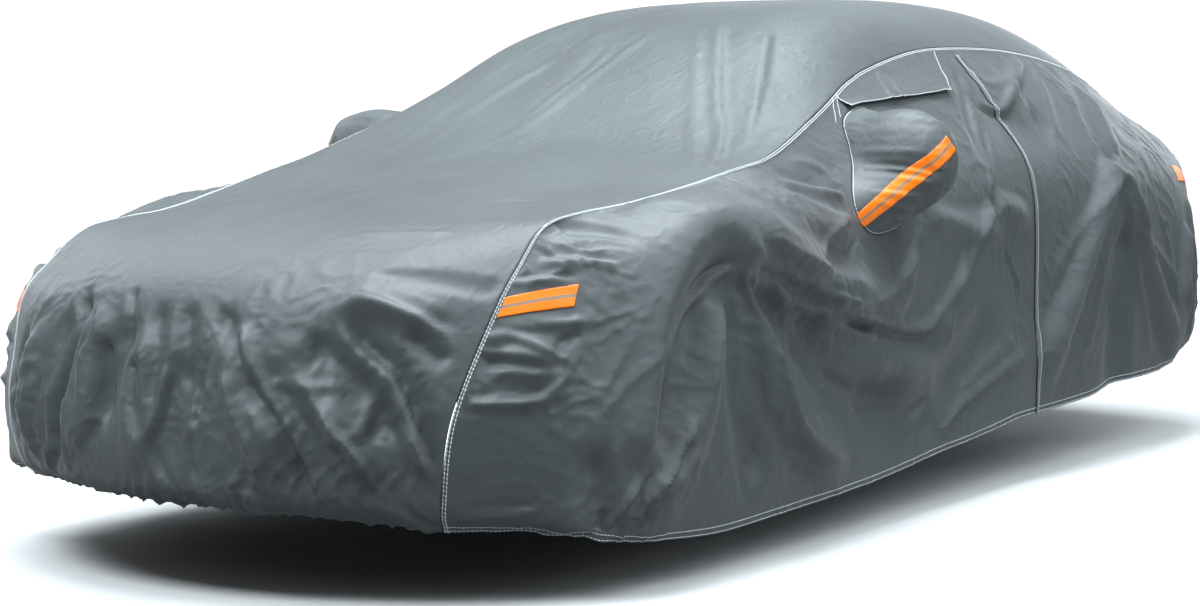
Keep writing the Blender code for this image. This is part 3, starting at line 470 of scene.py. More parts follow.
# %% [markdown]
# On the side, the cloth hangs in tents from the places where it is held out, and between them it sags.
# A tent is a bundle of creases that start close together and open out from there. No row is tied to
# another: each is a line of its own, so that it can be moved alone.

# %% Creases of the side
SIDE_FINE = (
    ("tuck", 1.5, (2.5, 4), (6, 8), ((-133, 77), (-139, 76), (-151, 72), (-162, 65), (-169, 58), (-172, 48),
                                     (-174, 38))),
    ("tuck", 1.3, (2.5, 5), (3, 20), ((-52, 55), (-61, 55), (-89, 63), (-110, 70), (-133, 78))),
    ("crease", 1.0, (2, 5), (3, 18), ((-132, 76), (-121, 59), (-114, 43), (-97, 27), (-67, 20))),
    ("crease", 0.8, (2, 5), (4, 12), ((-141, 73), (-151, 55), (-155, 40))),
    ("ridge", -1.3, (2, 6), (3, 14), ((-129, 74), (-117, 57), (-108, 44), (-98, 30))),
    ("crease", 1.2, (2, 6), (4, 16), ((-116, 72), (-89, 54), (-75, 39), (-54, 30))),
    ("ridge", -0.8, (2, 6), (3, 12), ((-131, 74), (-128, 60), (-125, 38))),
    ("tuck", 0.8, (2, 4), (6, 12), ((-66, 62), (-94, 69), (-117, 76), (-134, 83))),
    ("crease", 0.7, (2, 4), (6, 12), ((-122, 82), (-105, 76), (-66, 68))),
    ("tuck", 1.8, (2, 3), (3, 10), ((-180, 17), (-176, 25), (-169, 31), (-158, 41))),
    ("crease", 1.0, (1.6, 3), (3, 8), ((-191, 16), (-186, 24), (-173, 38))),
    ("crease", 0.8, (1.3, 2), (2, 3), ((-195, 17), (-193, 23), (-190, 28))),
    ("tuck", 0.9, (1.3, 2), (2, 4), ((-191, 16), (-188, 21), (-182, 28))),
    ("crease", 0.8, (1.5, 3), (4, 8), ((-185, 18), (-174, 34), (-173, 50))),
    ("tuck", 1.0, (1.3, 2), (2, 5), ((-186, 15), (-182, 21), (-173, 29))),
    ("ridge", -1.0, (2.5, 2), (3, 5), ((-214, 57), (-209, 57), (-201, 55))),
    ("crease", 1.3, (2.5, 2), (3, 4), ((-218, 48), (-210, 48), (-204, 49), (-199, 55))),
    ("ridge", 0.8, (2.5, 2), (3, 5), ((-212, 62), (-206, 63), (-198, 56))),
    ("tuck", 1.0, (2.5, 3), (3, 6), ((-188, 75), (-195, 76), (-203, 75))),
    ("tuck", 0.9, (2.5, 3), (3, 6), ((-178, 79), (-186, 80), (-195, 80))),
    ("ridge", -0.8, (2.5, 2.5), (3, 5), ((-183, 87), (-173, 86), (-167, 84))),
    ("tuck", 0.7, (2, 2.5), (3, 5), ((-191, 67), (-198, 67), (-204, 69))),
    ("ridge", 0.7, (2, 3), (3, 6), ((-208, 66), (-199, 66), (-188, 67))),
    ("crease", 0.45, (2, 3), (6, 8), ((-170, 60), (-189, 48), (-200, 30))),
    ("crease", 0.40, (2, 3), (6, 8), ((-178, 66), (-192, 49), (-202, 33))),
    ("crease", 0.45, (2, 3), (4, 5), ((-184, 43), (-192, 32), (-197, 24))),
    ("tuck", 0.5, (2, 2.5), (3, 4), ((-204, 24), (-212, 23), (-218, 22))),
    ("ridge", -0.7, (2, 2), (2, 3), ((-193, 64), (-199, 60), (-201, 54))),
    ("crease", 0.8, (1.5, 3), (2, 6), ((-162, 42), (-163, 26), (-165, 18))),
    ("crease", 0.6, (2, 3), (4, 6), ((-84, 50), (-69, 44), (-57, 40))),
    ("tuck", 0.9, (2, 4), (4, 10), ((-57, 61), (-31, 66), (-19, 74), (-11, 85))),
    ("tuck", 1.7, (3, 5), (8, 8), ((-88, 62), (-63, 57), (-21, 51), (-6, 54), (15, 65), (28, 77), (41, 85))),
    ("crease", 0.8, (2, 4), (5, 8), ((-79, 65), (-57, 61), (-38, 64))),
    ("tuck", 0.8, (2, 4), (6, 8), ((-51, 28), (-66, 38), (-80, 44))),
    ("tuck", 1.1, (2.5, 4), (6, 12), ((-12, 20), (9, 28), (36, 34), (60, 39))),
    ("crease", 0.7, (2, 4), (6, 10), ((8, 32), (32, 40), (54, 47))),
    ("tuck", 0.7, (2, 4), (6, 8), ((39, 85), (43, 95), (52, 107), (66, 120), (73, 130))),
    ("crease", 0.7, (2, 4), (5, 8), ((24, 82), (14, 70), (7, 57), (1, 43))),
    ("tuck", 0.6, (1.5, 2.5), (2, 4), ((46, 73), (55, 61), (54, 56))),
    ("crease", 0.6, (1.5, 3), (3, 6), ((-57, 80), (-67, 70))),
    ("crease", 0.6, (1.5, 3), (3, 6), ((-47, 79), (-44, 68))),
    ("tuck", 0.8, (2, 3), (4, 8), ((-94, 75), (-73, 82), (-58, 86))),
    ("ridge", -0.8, (2, 4), (5, 6), ((-14, 34), (-24, 29), (-38, 26))),
    ("crease", 0.9, (2, 6), (3, 16), ((134, 92), (115, 84), (101, 76), (85, 65), (74, 54))),
    ("crease", 1.0, (2, 6), (3, 16), ((135, 92), (148, 78), (181, 60), (188, 46), (191, 32))),
    ("ridge", -1.0, (2, 8), (3, 14), ((133, 90), (130, 72), (130, 40))),
    ("crease", 0.8, (2, 6), (3, 12), ((135, 88), (144, 71), (160, 40), (168, 30))),
    ("crease", 0.6, (2, 5), (3, 12), ((134, 90), (124, 70), (112, 46), (100, 33))),
    ("tuck", 0.9, (2.5, 4), (6, 8), ((65, 124), (66, 116), (78, 113), (95, 119), (127, 130))),
    ("crease", 0.6, (2, 4), (4, 8), ((73, 126), (84, 122), (104, 125), (114, 131))),
    ("crease", 0.6, (2, 5), (6, 12), ((131, 129), (113, 113), (92, 96))),
    ("crease", 0.6, (2, 5), (6, 12), ((143, 121), (129, 106), (129, 92))),
    ("crease", 0.7, (2, 5), (4, 12), ((176, 80), (185, 62), (182, 41))),
    ("tuck", 0.8, (2, 4), (4, 10), ((206, 33), (209, 60), (217, 86))),
    ("crease", 0.7, (2, 4), (4, 10), ((193, 82), (193, 61), (197, 36))),
    ("tuck", 0.6, (2, 3), (4, 6), ((226, 40), (230, 62), (233, 84))),
    ("crease", 0.7, (2, 4), (3, 10), ((-58, 84), (-78, 88), (-100, 94))),
    ("tuck", 0.7, (2, 4), (3, 8), ((-58, 92), (-72, 94), (-90, 97))),
    ("crease", 0.6, (2, 4), (3, 8), ((-57, 97), (-66, 100), (-78, 101))),
)
REAR_FINE = (
    ("tuck", 0.9, (3, 5), (8, 10), ((-30, 36), (-28, 60), (-32, 84))),
    ("crease", 0.9, (3, 5), (8, 10), ((0, 84), (-2, 60), (2, 36))),
    ("tuck", 0.8, (3, 5), (8, 10), ((24, 36), (24, 60), (20, 84))),
    ("crease", 0.8, (3, 5), (8, 10), ((52, 84), (54, 60), (50, 40))),
    ("crease", 0.8, (3, 5), (8, 10), ((-54, 82), (-58, 60), (-56, 42))),
)
print("creases of the side and rear:", len(SIDE_FINE), len(REAR_FINE))

# %% [markdown]
# Every fold row becomes a height over its own chart. The distance from the line, counted in widths,
# picks the height from the fold's profile, and the ends fade out softly. Curves with a bevel could be
# shrunk onto the cloth instead, but they would lie on it, and a fold is the cloth itself.

# %% Fold heights
TUCK = np.array((
    # how far to the left of the line, in widths, and how high
    (-1.0, 0), (-0.75, -0.08), (-0.45, -0.33), (-0.25, -0.46), (-0.10, -0.20), (0.05, 0.45),
    (0.18, 0.86), (0.30, 1.0), (0.45, 0.80), (0.70, 0.30), (0.90, 0.05), (1.0, 0),
))
REACH = {"ridge": 1, "crease": 1, "tuck": 1.3, "lip": 4}      # how many widths a fold reaches
STEPS = 6                                                     # between two places of a fold's path


def profile(kind, turn):
    """A fold's height, as a share of its full height, at a distance from its line in widths."""
    if kind == "ridge":
        return np.maximum(0, 1 - turn ** 2) ** 2
    if kind == "crease":
        return np.maximum(0, 1 - np.sqrt(turn ** 2 + 0.01)) ** 1.5
    if kind == "tuck":
        return np.interp(turn / REACH["tuck"], TUCK[:, 0], TUCK[:, 1])
    return np.where(np.abs(turn) < REACH["lip"], turn * np.exp((1 - turn ** 2) / 2), 0)


def fold_rise(folds, a, b, shift=(0, 0), depth=1.0):
    """How far these folds push the cloth out at the places (a, b) of a chart, in metres."""
    total = np.zeros(a.shape)
    for kind, height, widths, fades, path in folds:
        rows = (np.array(path, float) + shift) * CM
        points = through(rows, np.arange((len(rows) - 1) * STEPS + 1) / STEPS)
        reach = max(widths) * CM * REACH[kind]
        low, high = points.min(0) - reach, points.max(0) + reach
        near = (a > low[0]) & (a < high[0]) & (b > low[1]) & (b < high[1])
        spots = np.stack([a[near], b[near]], -1)
        if not len(spots):
            continue
        runs = np.diff(points, axis=0)
        sizes = np.linalg.norm(runs, axis=1)
        reached = np.concatenate([[0], np.cumsum(sizes)])
        best = np.full(len(spots), np.inf)
        side = np.zeros(len(spots))
        length = np.zeros(len(spots))
        for n, run in enumerate(runs):
            part = np.clip((spots - points[n]) @ run / sizes[n] ** 2, 0, 1)
            offset = spots - points[n] - part[:, None] * run
            away = np.hypot(*offset.T)
            closer = away < best
            best[closer] = away[closer]
            side[closer] = np.where(run[0] * offset[closer, 1] >= run[1] * offset[closer, 0], 1, -1)
            length[closer] = reached[n] + sizes[n] * part[closer]
        width = widths[0] + (widths[1] - widths[0]) * length / reached[-1]
        ends = ease(length / (fades[0] * CM)) * ease((reached[-1] - length) / (fades[1] * CM))
        total[near] += height * CM * depth * profile(kind, side * best / (width * CM)) * ends
    return total


print("a ridge at half its width is", round(float(profile("ridge", np.array(0.5))), 2), "of its height")

# %% [markdown]
# Coated cloth also crumples all over, in small ripples that follow the pull of the cloth. Blender's
# noise has no direction. A handful of waves whose directions lie close together make such a grain.
# Its absolute value is taken and turned over, so that the ripples get sharp backs, and a slower wave
# lets them come and go. The dice have a fixed seed, so the cloth is the same every time.

# %% Ripples
SEED = 7
dice = np.random.default_rng(SEED)


def waves(a, b, angle, spread, longest, shortest, count=14):
    """Waves over a chart in metres, whose ridges run near the angle in degrees. About -1 to 1."""
    total = np.zeros(a.shape)
    for n in range(count):
        turn = math.radians(angle + 90 + dice.normal() * spread)
        length = longest * (shortest / longest) ** dice.random()
        phase = dice.random() * 2 * math.pi
        total += np.cos((a * math.cos(turn) + b * math.sin(turn)) * 2 * math.pi / length + phase)
    return total / math.sqrt(count)


def ripples(a, b, angle, spread, longest, shortest):
    """Ridged ripples that come and go, about 0 to 1."""
    bent_a = a + 0.02 * waves(a, b, 0, 90, 0.30, 0.15, 6)
    bent_b = b + 0.02 * waves(a, b, 0, 90, 0.30, 0.15, 6)
    ridged = 1 - np.minimum(1, 1.2 * np.abs(waves(bent_a, bent_b, angle, spread, longest, shortest)))
    patches = ease(0.5 + 0.6 * waves(a, b, 0, 90, 0.9, 0.25, 8))
    return ridged ** 1.5 * patches


def bump_at(value, middle, reach):
    """1 at the middle, 0 beyond the reach, soft between."""
    return ease(1 - np.abs(value - middle) / reach)


def ripple_rows(rows, a, b):
    """The sum of a table of ripples over a chart, each only near its place, in metres."""
    total = np.zeros(a.shape)
    for height, angle, spread, longest, shortest, near_a, near_b in rows:
        patch = height * ripples(a, b, angle, spread, longest, shortest)
        for value, place in ((a, near_a), (b, near_b)):
            if place:
                patch = patch * bump_at(value, *place)
        total += patch
    return total


print("seed of the ripples:", SEED)

# %% [markdown]
# The cloth lies smoother under the tape strips, because they are sewn on flat. So the places of the
# four on the sides are needed before the folds are. Each row gives a strip's two ends, and from them
# comes how near any point of the cloth is to it.

# %% Places of the strips
STRIPS = {
    # name: side, then sections along and the columns of the upper and lower edge, at start and end
    "front_left_strip": (1, (0.07, 1.83, 2.10), (1.12, 1.83, 2.10)),
    "front_right_strip": (-1, (0.07, 2.03, 2.30), (1.12, 2.03, 2.30)),
    "rear_left_strip": (1, (14.1, 1.66, 1.96), (15.9, 1.08, 1.44)),
    "rear_right_strip": (-1, (14.1, 1.66, 1.96), (15.9, 1.08, 1.44)),
}
STRIP_CALM = 0.30                         # how far round a strip the cloth calms down
STRIP_SMOOTH = 0.85                       # how much of the fine folds the sewing takes away


def under_strips(side, along, down):
    """1 under the strips of a side, falling to 0 a hand's breadth away."""
    under = np.zeros(along.shape)
    for strip_side, start, end in STRIPS.values():
        if strip_side == side:
            share = np.clip((along - start[0]) / (end[0] - start[0]), 0, 1)
            upper = start[1] + (end[1] - start[1]) * share
            lower = start[2] + (end[2] - start[2]) * share
            beyond = np.maximum(np.maximum(start[0] - along, along - end[0]), 0)
            gap = np.hypot(beyond, np.maximum(np.maximum(upper - down, down - lower), 0))
            under = np.maximum(under, ease(1 - gap / STRIP_CALM))
    return under


print("strips on the sides:", list(STRIPS))

# %% [markdown]
# The sides share one function for all their folds. The cloth is taut where it is sewn: along the seam
# with the top, at the upright seams and round the mirror pocket. There, only small puckers are left.
# The right side is hardly seen. It gets the same folds, moved a little and shallower, so that the two
# sides aren't mirror images.

# %% Folds of a side
POCKET_ALONG, POCKET_DOWN = (6, 7), (0.4, 2.2)                # the base of a mirror pocket
RIGHT_SHIFT, RIGHT_DEPTH = (5, -2), 0.85
MAIN_DEPTH, FINE_DEPTH = 1.2, 1.5
ZIP_STEADIES = 0.75
SIDE_RIPPLES = (
    # height, angle, spread, longest and shortest wave, then middle and reach along and upwards
    (0.0060, 60, 38, 0.16, 0.05, (-1.9, 0.55), None),
    (0.0080, -38, 36, 0.16, 0.05, (-0.85, 0.75), (0.6, 0.55)),
    (0.0070, -50, 45, 0.11, 0.04, (0.40, 0.35), (0.80, 0.30)),
    (0.0080, 84, 15, 0.10, 0.035, (1.0, 0.50), (0.93, 0.22)),
    (0.0035, 62, 60, 0.20, 0.08, (1.5, 1.10), None),
    (0.0036, 20, 90, 0.24, 0.08, None, None),
)
HEM_RIPPLES = ((0.0035, 80, 10, 0.09, 0.03, None, None),)


def pocket_gap(along, down):
    """How far a place is from the base of the mirror pocket, 0 inside it."""
    gap_along = np.maximum(np.maximum(POCKET_ALONG[0] - along, along - POCKET_ALONG[1]), 0)
    gap_down = np.maximum(np.maximum(POCKET_DOWN[0] - down, down - POCKET_DOWN[1]), 0)
    return np.hypot(gap_along, gap_down)


def side_folds(side, along, down, points):
    """How far a side's folds push its points out."""
    a, b = points[..., 1], points[..., 2]
    shift, depth = ((0, 0), 1.0) if side > 0 else (RIGHT_SHIFT, RIGHT_DEPTH)
    gap = pocket_gap(along, down)
    taut = ease(down / 0.5) * ease(along / 0.5) * ease((SECTIONS - along) / 0.6) * ease(gap / 0.4)
    taut *= 1 - ZIP_STEADIES * bump_at(along, ZIP_LINE, 0.9) * ease(2.4 - down)
    rise = taut * fold_rise(SIDE_MAIN, a, b, shift, MAIN_DEPTH * depth)
    close = ease(down / 0.15) * ease(along / 0.12) * ease((SECTIONS - along) / 0.12) * ease(gap / 0.12)
    fine = fold_rise(SIDE_FINE, a, b, shift, FINE_DEPTH * depth)
    fine += ripple_rows(SIDE_RIPPLES, a, b)
    fine += ease((down - 4.35) / 0.5) * ripple_rows(HEM_RIPPLES, a, b)
    return rise + close * fine * (1 - STRIP_SMOOTH * under_strips(side, along, down))


print("ripples of a side:", len(SIDE_RIPPLES) + len(HEM_RIPPLES))

# %% [markdown]
# The top sheet is one long cloth that hangs down in front and behind. Its front hangs free and is drawn
# in at the hem by elastic, so it crumples far more than the flat part. All three share one grid, and
# each set of folds fades in on its own part alone.

# %% Folds of the top sheet
FLAT_DEPTH, FRONT_DEPTH = 0.55, 1.7
FRONT_RIPPLES = (
    # height, angle, spread, longest and shortest wave, then middle and reach across and upwards
    (0.0050, 84, 14, 0.13, 0.050, None, (0.42, 0.36)),
    (0.0042, 25, 60, 0.18, 0.05, None, None),
)
GATHER_RIPPLES = ((0.0130, 78, 14, 0.12, 0.045, None, None),)
TOP_RIPPLES = (
    (0.0009, 70, 25, 0.30, 0.08, None, None),
    (0.0016, 66, 16, 0.26, 0.07, (-0.25, 0.55), (-0.55, 0.6)),
)


def top_folds(place, across, points):
    """How far the top sheet's folds push its points out."""
    x, y, z = points[..., 0], points[..., 1], points[..., 2]
    taut = ease((1 - np.abs(across)) / 0.16)
    close = ease((1 - np.abs(across)) / 0.04)
    front = ease(-place / 0.5) * fold_rise(FRONT_MAIN, x, z)
    rear = ease((place - SECTIONS) / 0.5) * fold_rise(REAR_MAIN, x, z)
    top = ease(place) * ease(SECTIONS - place + 1) * fold_rise(TOP_MAIN, x, y, depth=FLAT_DEPTH)
    rise = taut * np.where(place < 0, front, np.where(place > SECTIONS, rear, top))
    down = np.clip(-place, 0, 5)
    up_front = ease(down / 0.8)
    fine = up_front * fold_rise(FRONT_FINE, x, z, depth=FRONT_DEPTH)
    fine += ease((place - SECTIONS) / 0.8) * fold_rise(REAR_FINE, x, z)
    over = ease(1 - down / 0.9) * ease(1 - (place - SECTIONS) / 0.9)
    fine += over * fold_rise(TOP_FINE, x, y)
    fine += up_front * ripple_rows(FRONT_RIPPLES, x, z)
    fine += ease((down - 3.0) / 1.0) * ripple_rows(GATHER_RIPPLES, x, z)
    fine += over * ripple_rows(TOP_RIPPLES, x, y)
    return rise + close * fine


print("ripples of the top sheet:", len(FRONT_RIPPLES) + len(GATHER_RIPPLES) + len(TOP_RIPPLES))

# %% [markdown]
# Each sheet starts as a plain grid made with an operator, and its points are then moved onto the form.
# The grid's lines are spaced by real lengths, closer where the camera looks. A subdivided plane with a
# displacement would put as many points in places that nobody sees.

# %% Grids
def normals_of(points):
    """Unit normals of a grid of points, towards rows x columns."""
    a = np.gradient(points, axis=0)
    b = np.gradient(points, axis=1)
    normals = np.cross(a, b)
    return normals / np.maximum(np.linalg.norm(normals, axis=-1, keepdims=True), 1e-12)


def reached_along(points, axis):
    """Distances in metres along the grid lines, counted from where they start."""
    steps = np.linalg.norm(np.diff(points, axis=axis), axis=-1)
    return np.insert(np.cumsum(steps, axis=axis), 0, 0, axis=axis)


def grid_mesh(name, points, drop=None, weld=False):
    """A mesh from a create_grid whose vertices are moved onto an array of points."""
    rows, columns = points.shape[:2]
    bm = bmesh.new()
    made = bmesh.ops.create_grid(bm, x_segments=columns - 1, y_segments=rows - 1, size=1)["verts"]
    for vert, place in zip(made, points.reshape(-1, 3)):
        vert.co = place
    if drop is not None:
        bm.faces.ensure_lookup_table()
        gone = [bm.faces[int(n)] for n in np.flatnonzero(drop)]
        bmesh.ops.delete(bm, geom=gone, context="FACES")
    if weld:
        bmesh.ops.remove_doubles(bm, verts=bm.verts[:], dist=0.00002)
    bm.normal_update()
    mesh = bpy.data.meshes.new(name)
    bm.to_mesh(mesh)
    bm.free()
    return mesh


CLOTH_THICK, TRIM_THICK, TAPE_THICK = 0.0015, 0.001, 0.0008
PIECES = []


def add_piece(name, mesh, material, node, thick=CLOTH_THICK):
    """A finished sheet: its thickness goes inwards, it rides on the cover and stands for its solid."""
    mesh.materials.clear()
    mesh.materials.append(material)
    mesh.shade_smooth()
    piece = bpy.data.objects.new(name, mesh)
    bpy.context.scene.collection.objects.link(piece)
    if thick:
        solidify = piece.modifiers.new("thickness", "SOLIDIFY")
        solidify.thickness = thick
        solidify.offset = -1
        solidify.use_even_offset = False
    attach(piece, "root")
    if node:
        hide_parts(node)
    PIECES.append(piece)
    print(name, "triangles:", sum(len(p.vertices) - 2 for p in mesh.polygons) * (2 if thick else 1))
    return piece


print("a cloth is", CLOTH_THICK * 1000, "mm thick, and tape is", TAPE_THICK * 1000, "mm")

# %% [markdown]
# All the cloth is one thin polyester with a dark grey coating. The coating has a soft gloss, which
# carries the overhead light on everything that faces up. Close by, such cloth has a fine weave under
# the coating, and crinkles that are too small for the mesh. Both are bump, because a mesh that fine
# would be far too heavy. A node group holds them, so that the placket's cloth can share it.

# %% Nodes of the coated cloth
CRINKLE_SCALE, FINE_SCALE, CLOUD_SCALE, WEAVE_SCALE = 11.0, 42.0, 3.0, 260.0
CRINKLE_PULL = (1.0, 0.55, 0.9)           # a smaller number makes the crinkles longer that way


def socket(group, name, kind, default=None, into=True):
    item = group.interface.new_socket(name=name, in_out="INPUT" if into else "OUTPUT", socket_type=kind)
    if default is not None:
        item.default_value = default


def between(group, value, old, new):
    """A Map Range node: what lay between the old numbers then lies between the new ones."""
    node = group.nodes.new("ShaderNodeMapRange")
    for title, number in zip(("From Min", "From Max", "To Min", "To Max"), (*old, *new)):
        node.inputs[title].default_value = number
    group.links.new(value, node.inputs["Value"])
    return node.outputs["Result"]


def coating_group():
    """Colour, roughness and height of the coated cloth. Object coordinates give the crinkles."""
    group = bpy.data.node_groups.new("coated cloth", "ShaderNodeTree")
    socket(group, "Colour", "NodeSocketColor", (0.1, 0.1, 0.1, 1))
    socket(group, "Base Color", "NodeSocketColor", into=False)
    socket(group, "Roughness", "NodeSocketFloat", into=False)
    socket(group, "Height", "NodeSocketFloat", into=False)
    link = group.links.new
    start = group.nodes.new("NodeGroupInput")
    end = group.nodes.new("NodeGroupOutput")
    place = group.nodes.new("ShaderNodeTexCoord")
    pulled = group.nodes.new("ShaderNodeVectorMath")
    pulled.operation = "MULTIPLY"
    pulled.inputs[1].default_value = CRINKLE_PULL
    link(place.outputs["Object"], pulled.inputs[0])

    def noise(scale, detail, kind="FBM", rough=0.55, distortion=0.0):
        node = group.nodes.new("ShaderNodeTexNoise")
        node.noise_type = kind
        node.inputs["Scale"].default_value = scale
        node.inputs["Detail"].default_value = detail
        node.inputs["Roughness"].default_value = rough
        node.inputs["Distortion"].default_value = distortion
        link(pulled.outputs["Vector"], node.inputs["Vector"])
        return node.outputs["Fac"]

    def added(one, share, other):
        node = group.nodes.new("ShaderNodeMath")
        node.operation = "MULTIPLY_ADD"
        link(one, node.inputs[0])
        node.inputs[1].default_value = share
        link(other, node.inputs[2])
        return node.outputs[0]

    crinkle = noise(CRINKLE_SCALE, 6.0, "RIDGED_MULTIFRACTAL", 0.6, 0.3)
    fine = noise(FINE_SCALE, 4.0, "RIDGED_MULTIFRACTAL", 0.6, 0.2)
    clouds = noise(CLOUD_SCALE, 3.0)
    weave = group.nodes.new("ShaderNodeTexWave")
    weave.inputs["Scale"].default_value = WEAVE_SCALE
    weave.bands_direction = "DIAGONAL"
    weave.inputs["Distortion"].default_value = 1.0
    link(place.outputs["Object"], weave.inputs["Vector"])
    height = added(weave.outputs["Fac"], 0.03, added(fine, 0.5, crinkle))
    link(height, end.inputs["Height"])
    link(between(group, clouds, (0.3, 0.7), (0.44, 0.52)), end.inputs["Roughness"])
    tint = group.nodes.new("ShaderNodeVectorMath")
    tint.operation = "SCALE"
    link(start.outputs["Colour"], tint.inputs["Vector"])
    link(between(group, clouds, (0.25, 0.75), (0.90, 1.10)), tint.inputs["Scale"])
    link(tint.outputs["Vector"], end.inputs["Base Color"])
    return group


COATING = coating_group()
print("nodes of the coated cloth:", len(COATING.nodes))

# %% [markdown]
# Each cloth is a material of its own with the group in it. The shader's own sockets hold what is the
# same all over: a little sheen, which lifts the edges that turn away, as on real polyester.

# %% Cloths
def cloth_material(name, colour, crinkle=0.0042):
    """A coated cloth in one colour. crinkle is how deep its bump goes, in metres."""
    material = bpy.data.materials.new(name)
    material.use_nodes = True
    tree = material.node_tree
    link = tree.links.new
    shader = tree.nodes["Principled BSDF"]
    group = tree.nodes.new("ShaderNodeGroup")
    group.node_tree = COATING
    group.inputs["Colour"].default_value = (*colour, 1)
    bump = tree.nodes.new("ShaderNodeBump")
    bump.inputs["Strength"].default_value = 1.0
    bump.inputs["Distance"].default_value = crinkle
    link(group.outputs["Height"], bump.inputs["Height"])
    link(bump.outputs["Normal"], shader.inputs["Normal"])
    link(group.outputs["Base Color"], shader.inputs["Base Color"])
    link(group.outputs["Roughness"], shader.inputs["Roughness"])
    shader.inputs["Sheen Weight"].default_value = 0.15
    shader.inputs["Sheen Roughness"].default_value = 0.4
    return material


CLOTH = cloth_material("cover cloth", (0.072, 0.083, 0.087))
# The placket's lighter grey is a painted highlight: it stands for the light that the raised strip catches.
PLACKET_HIGHLIGHT_CLOTH = cloth_material("placket cloth, painted highlight", (0.125, 0.138, 0.145), 0.0008)
print("cloths:", CLOTH.name, "and", PLACKET_HIGHLIGHT_CLOTH.name)

# %% [markdown]
# Along a seam, one edge of cloth is folded over the other and stitched down twice, which leaves a flat
# ridge beside the line. The stitching also draws the cloth up a little, so it puckers there. A separate
# strip could be laid on for the ridge, but as a step in the cloth itself it needs no extra piece.

# %% Seam ridges
SEAM_HEIGHT, SEAM_WIDTH = 0.0022, 0.012
SEAM_GAP = 0.0011


def felled(distance, points, angle):
    """The raised seam fold and the puckers beside it, by distance from the seam in metres."""
    raised = SEAM_HEIGHT * ease(distance / 0.0012) * (1 - ease((distance - SEAM_WIDTH) / 0.004))
    near = ease(distance / SEAM_WIDTH) * (1 - ease((distance - 0.02) / 0.05))
    puckers = ripples(points[..., 1], points[..., 2] + points[..., 0], angle, 14, 0.06, 0.03)
    return raised + SEAM_HEIGHT * near * puckers


def settle_edges(points, edges):
    """Draws a sheet's edges back from their seams, which leaves the thin dark line of a seam."""
    for axis, end in edges:
        line = points if axis == 0 else points.swapaxes(0, 1)
        one, two = (0, 1) if end == 0 else (-1, -2)
        run = line[two] - line[one]
        line[one] += run / np.linalg.norm(run, axis=-1, keepdims=True) * SEAM_GAP
    return points


print("a seam is", SEAM_WIDTH * 1000, "mm wide and", SEAM_HEIGHT * 1000, "mm high")

# %% [markdown]
# The top sheet is the longest cloth. Where its flat part turns down at the front and the rear, the
# sections meet in a hard edge. A bevel rounds off a finished mesh, but here the folds need rounded
# points before there is a mesh. So the rows near the edge are drawn towards their neighbours, again
# and again.

# %% The grid of the top sheet
PLACE_STOPS = (-5, -4, -2, 0, 3, 6, 9, 16, 21)                # front hem, 0 to 16 on top, rear hem
PLACE_STEPS = (0.0086, 0.0086, 0.0086, 0.013, 0.018, 0.027, 0.050, 0.050)
ACROSS_STOPS = (-1, -0.9, 0.0, 0.9, 1)
ACROSS_STEPS = (0.0100, 0.0105, 0.0092, 0.0085)


def spaced(curve, stops, steps):
    """Grid lines between the stops of a curve, about one step apart in metres."""
    lines = []
    for one, two, step in zip(stops, stops[1:], steps):
        path = curve(np.linspace(one, two, 60))
        length = np.linalg.norm(np.diff(path, axis=0), axis=1).sum()
        lines.append(np.linspace(one, two, max(2, math.ceil(length / step)), endpoint=False))
    return np.concatenate(lines + [[stops[-1]]])


def round_over(points, middle, reach, rounds):
    """Rounds off a hard edge of a grid: the rows near it are drawn towards their neighbours."""
    steps = np.linalg.norm(np.diff(points, axis=0), axis=-1).mean(1)
    reached = np.insert(np.cumsum(steps), 0, 0)
    pull = 0.5 * ease(1 - np.abs(reached - reached[middle]) / reach)[1:-1, None, None]
    for turn in range(rounds):
        points[1:-1] += pull * ((points[:-2] + points[2:]) / 2 - points[1:-1])


def nearest_line(lines, value):
    """Which of the grid lines lies nearest to a place."""
    return int(np.argmin(np.abs(lines - value)))


place_lines = spaced(lambda p: top_place(p, np.full(p.shape, 0.4)), PLACE_STOPS, PLACE_STEPS)
across_lines = spaced(lambda c: top_place(np.full(c.shape, -2.5), c), ACROSS_STOPS, ACROSS_STEPS)
place, across = np.meshgrid(place_lines, across_lines, indexing="ij")
hard_base = top_place(place, across)
top_base = hard_base.copy()
round_over(top_base, nearest_line(place_lines, 0), reach=0.13, rounds=70)
round_over(top_base, nearest_line(place_lines, SECTIONS), reach=0.20, rounds=4)
print("grid of the top sheet:", top_base.shape[:2])

# %% [markdown]
# The folds push every point of the rounded grid along its own normal. The two long edges are drawn back
# from the seams last, and the sheet is done.

# %% The top sheet
top_rise = top_folds(place, across, top_base)
top_points = top_base - normals_of(top_base) * top_rise[..., None]
settle_edges(top_points, ((1, 0), (1, -1)))
print("folds of the top sheet, in metres:", round(float(top_rise.min()), 3), round(float(top_rise.max()), 3))
top = add_piece("top_sheet", grid_mesh("top_sheet", top_points), CLOTH, "top_panel")

# %% [markdown]
# A side is sewn from two cloths, in front of and behind the zip line. It is worked out as one sheet and
# then cut there, so the folds run on across the cut. Round the mirror pocket the grid's lines are bent
# into the pocket's rounded base, and the faces inside are taken out for the pocket to fill. A boolean
# would cut that hole too, but it would leave ragged faces where the seam has to be smooth.

# %% Grid of a side
POCKET_ROUND = 3                          # 2 would make the base an ellipse, more squares it off
SIDE_STOPS_DOWN = (0, 0.4, 1, 2.2, 3, 4, 5)
LEFT_STEP, RIGHT_STEP = 0.0095, 0.014


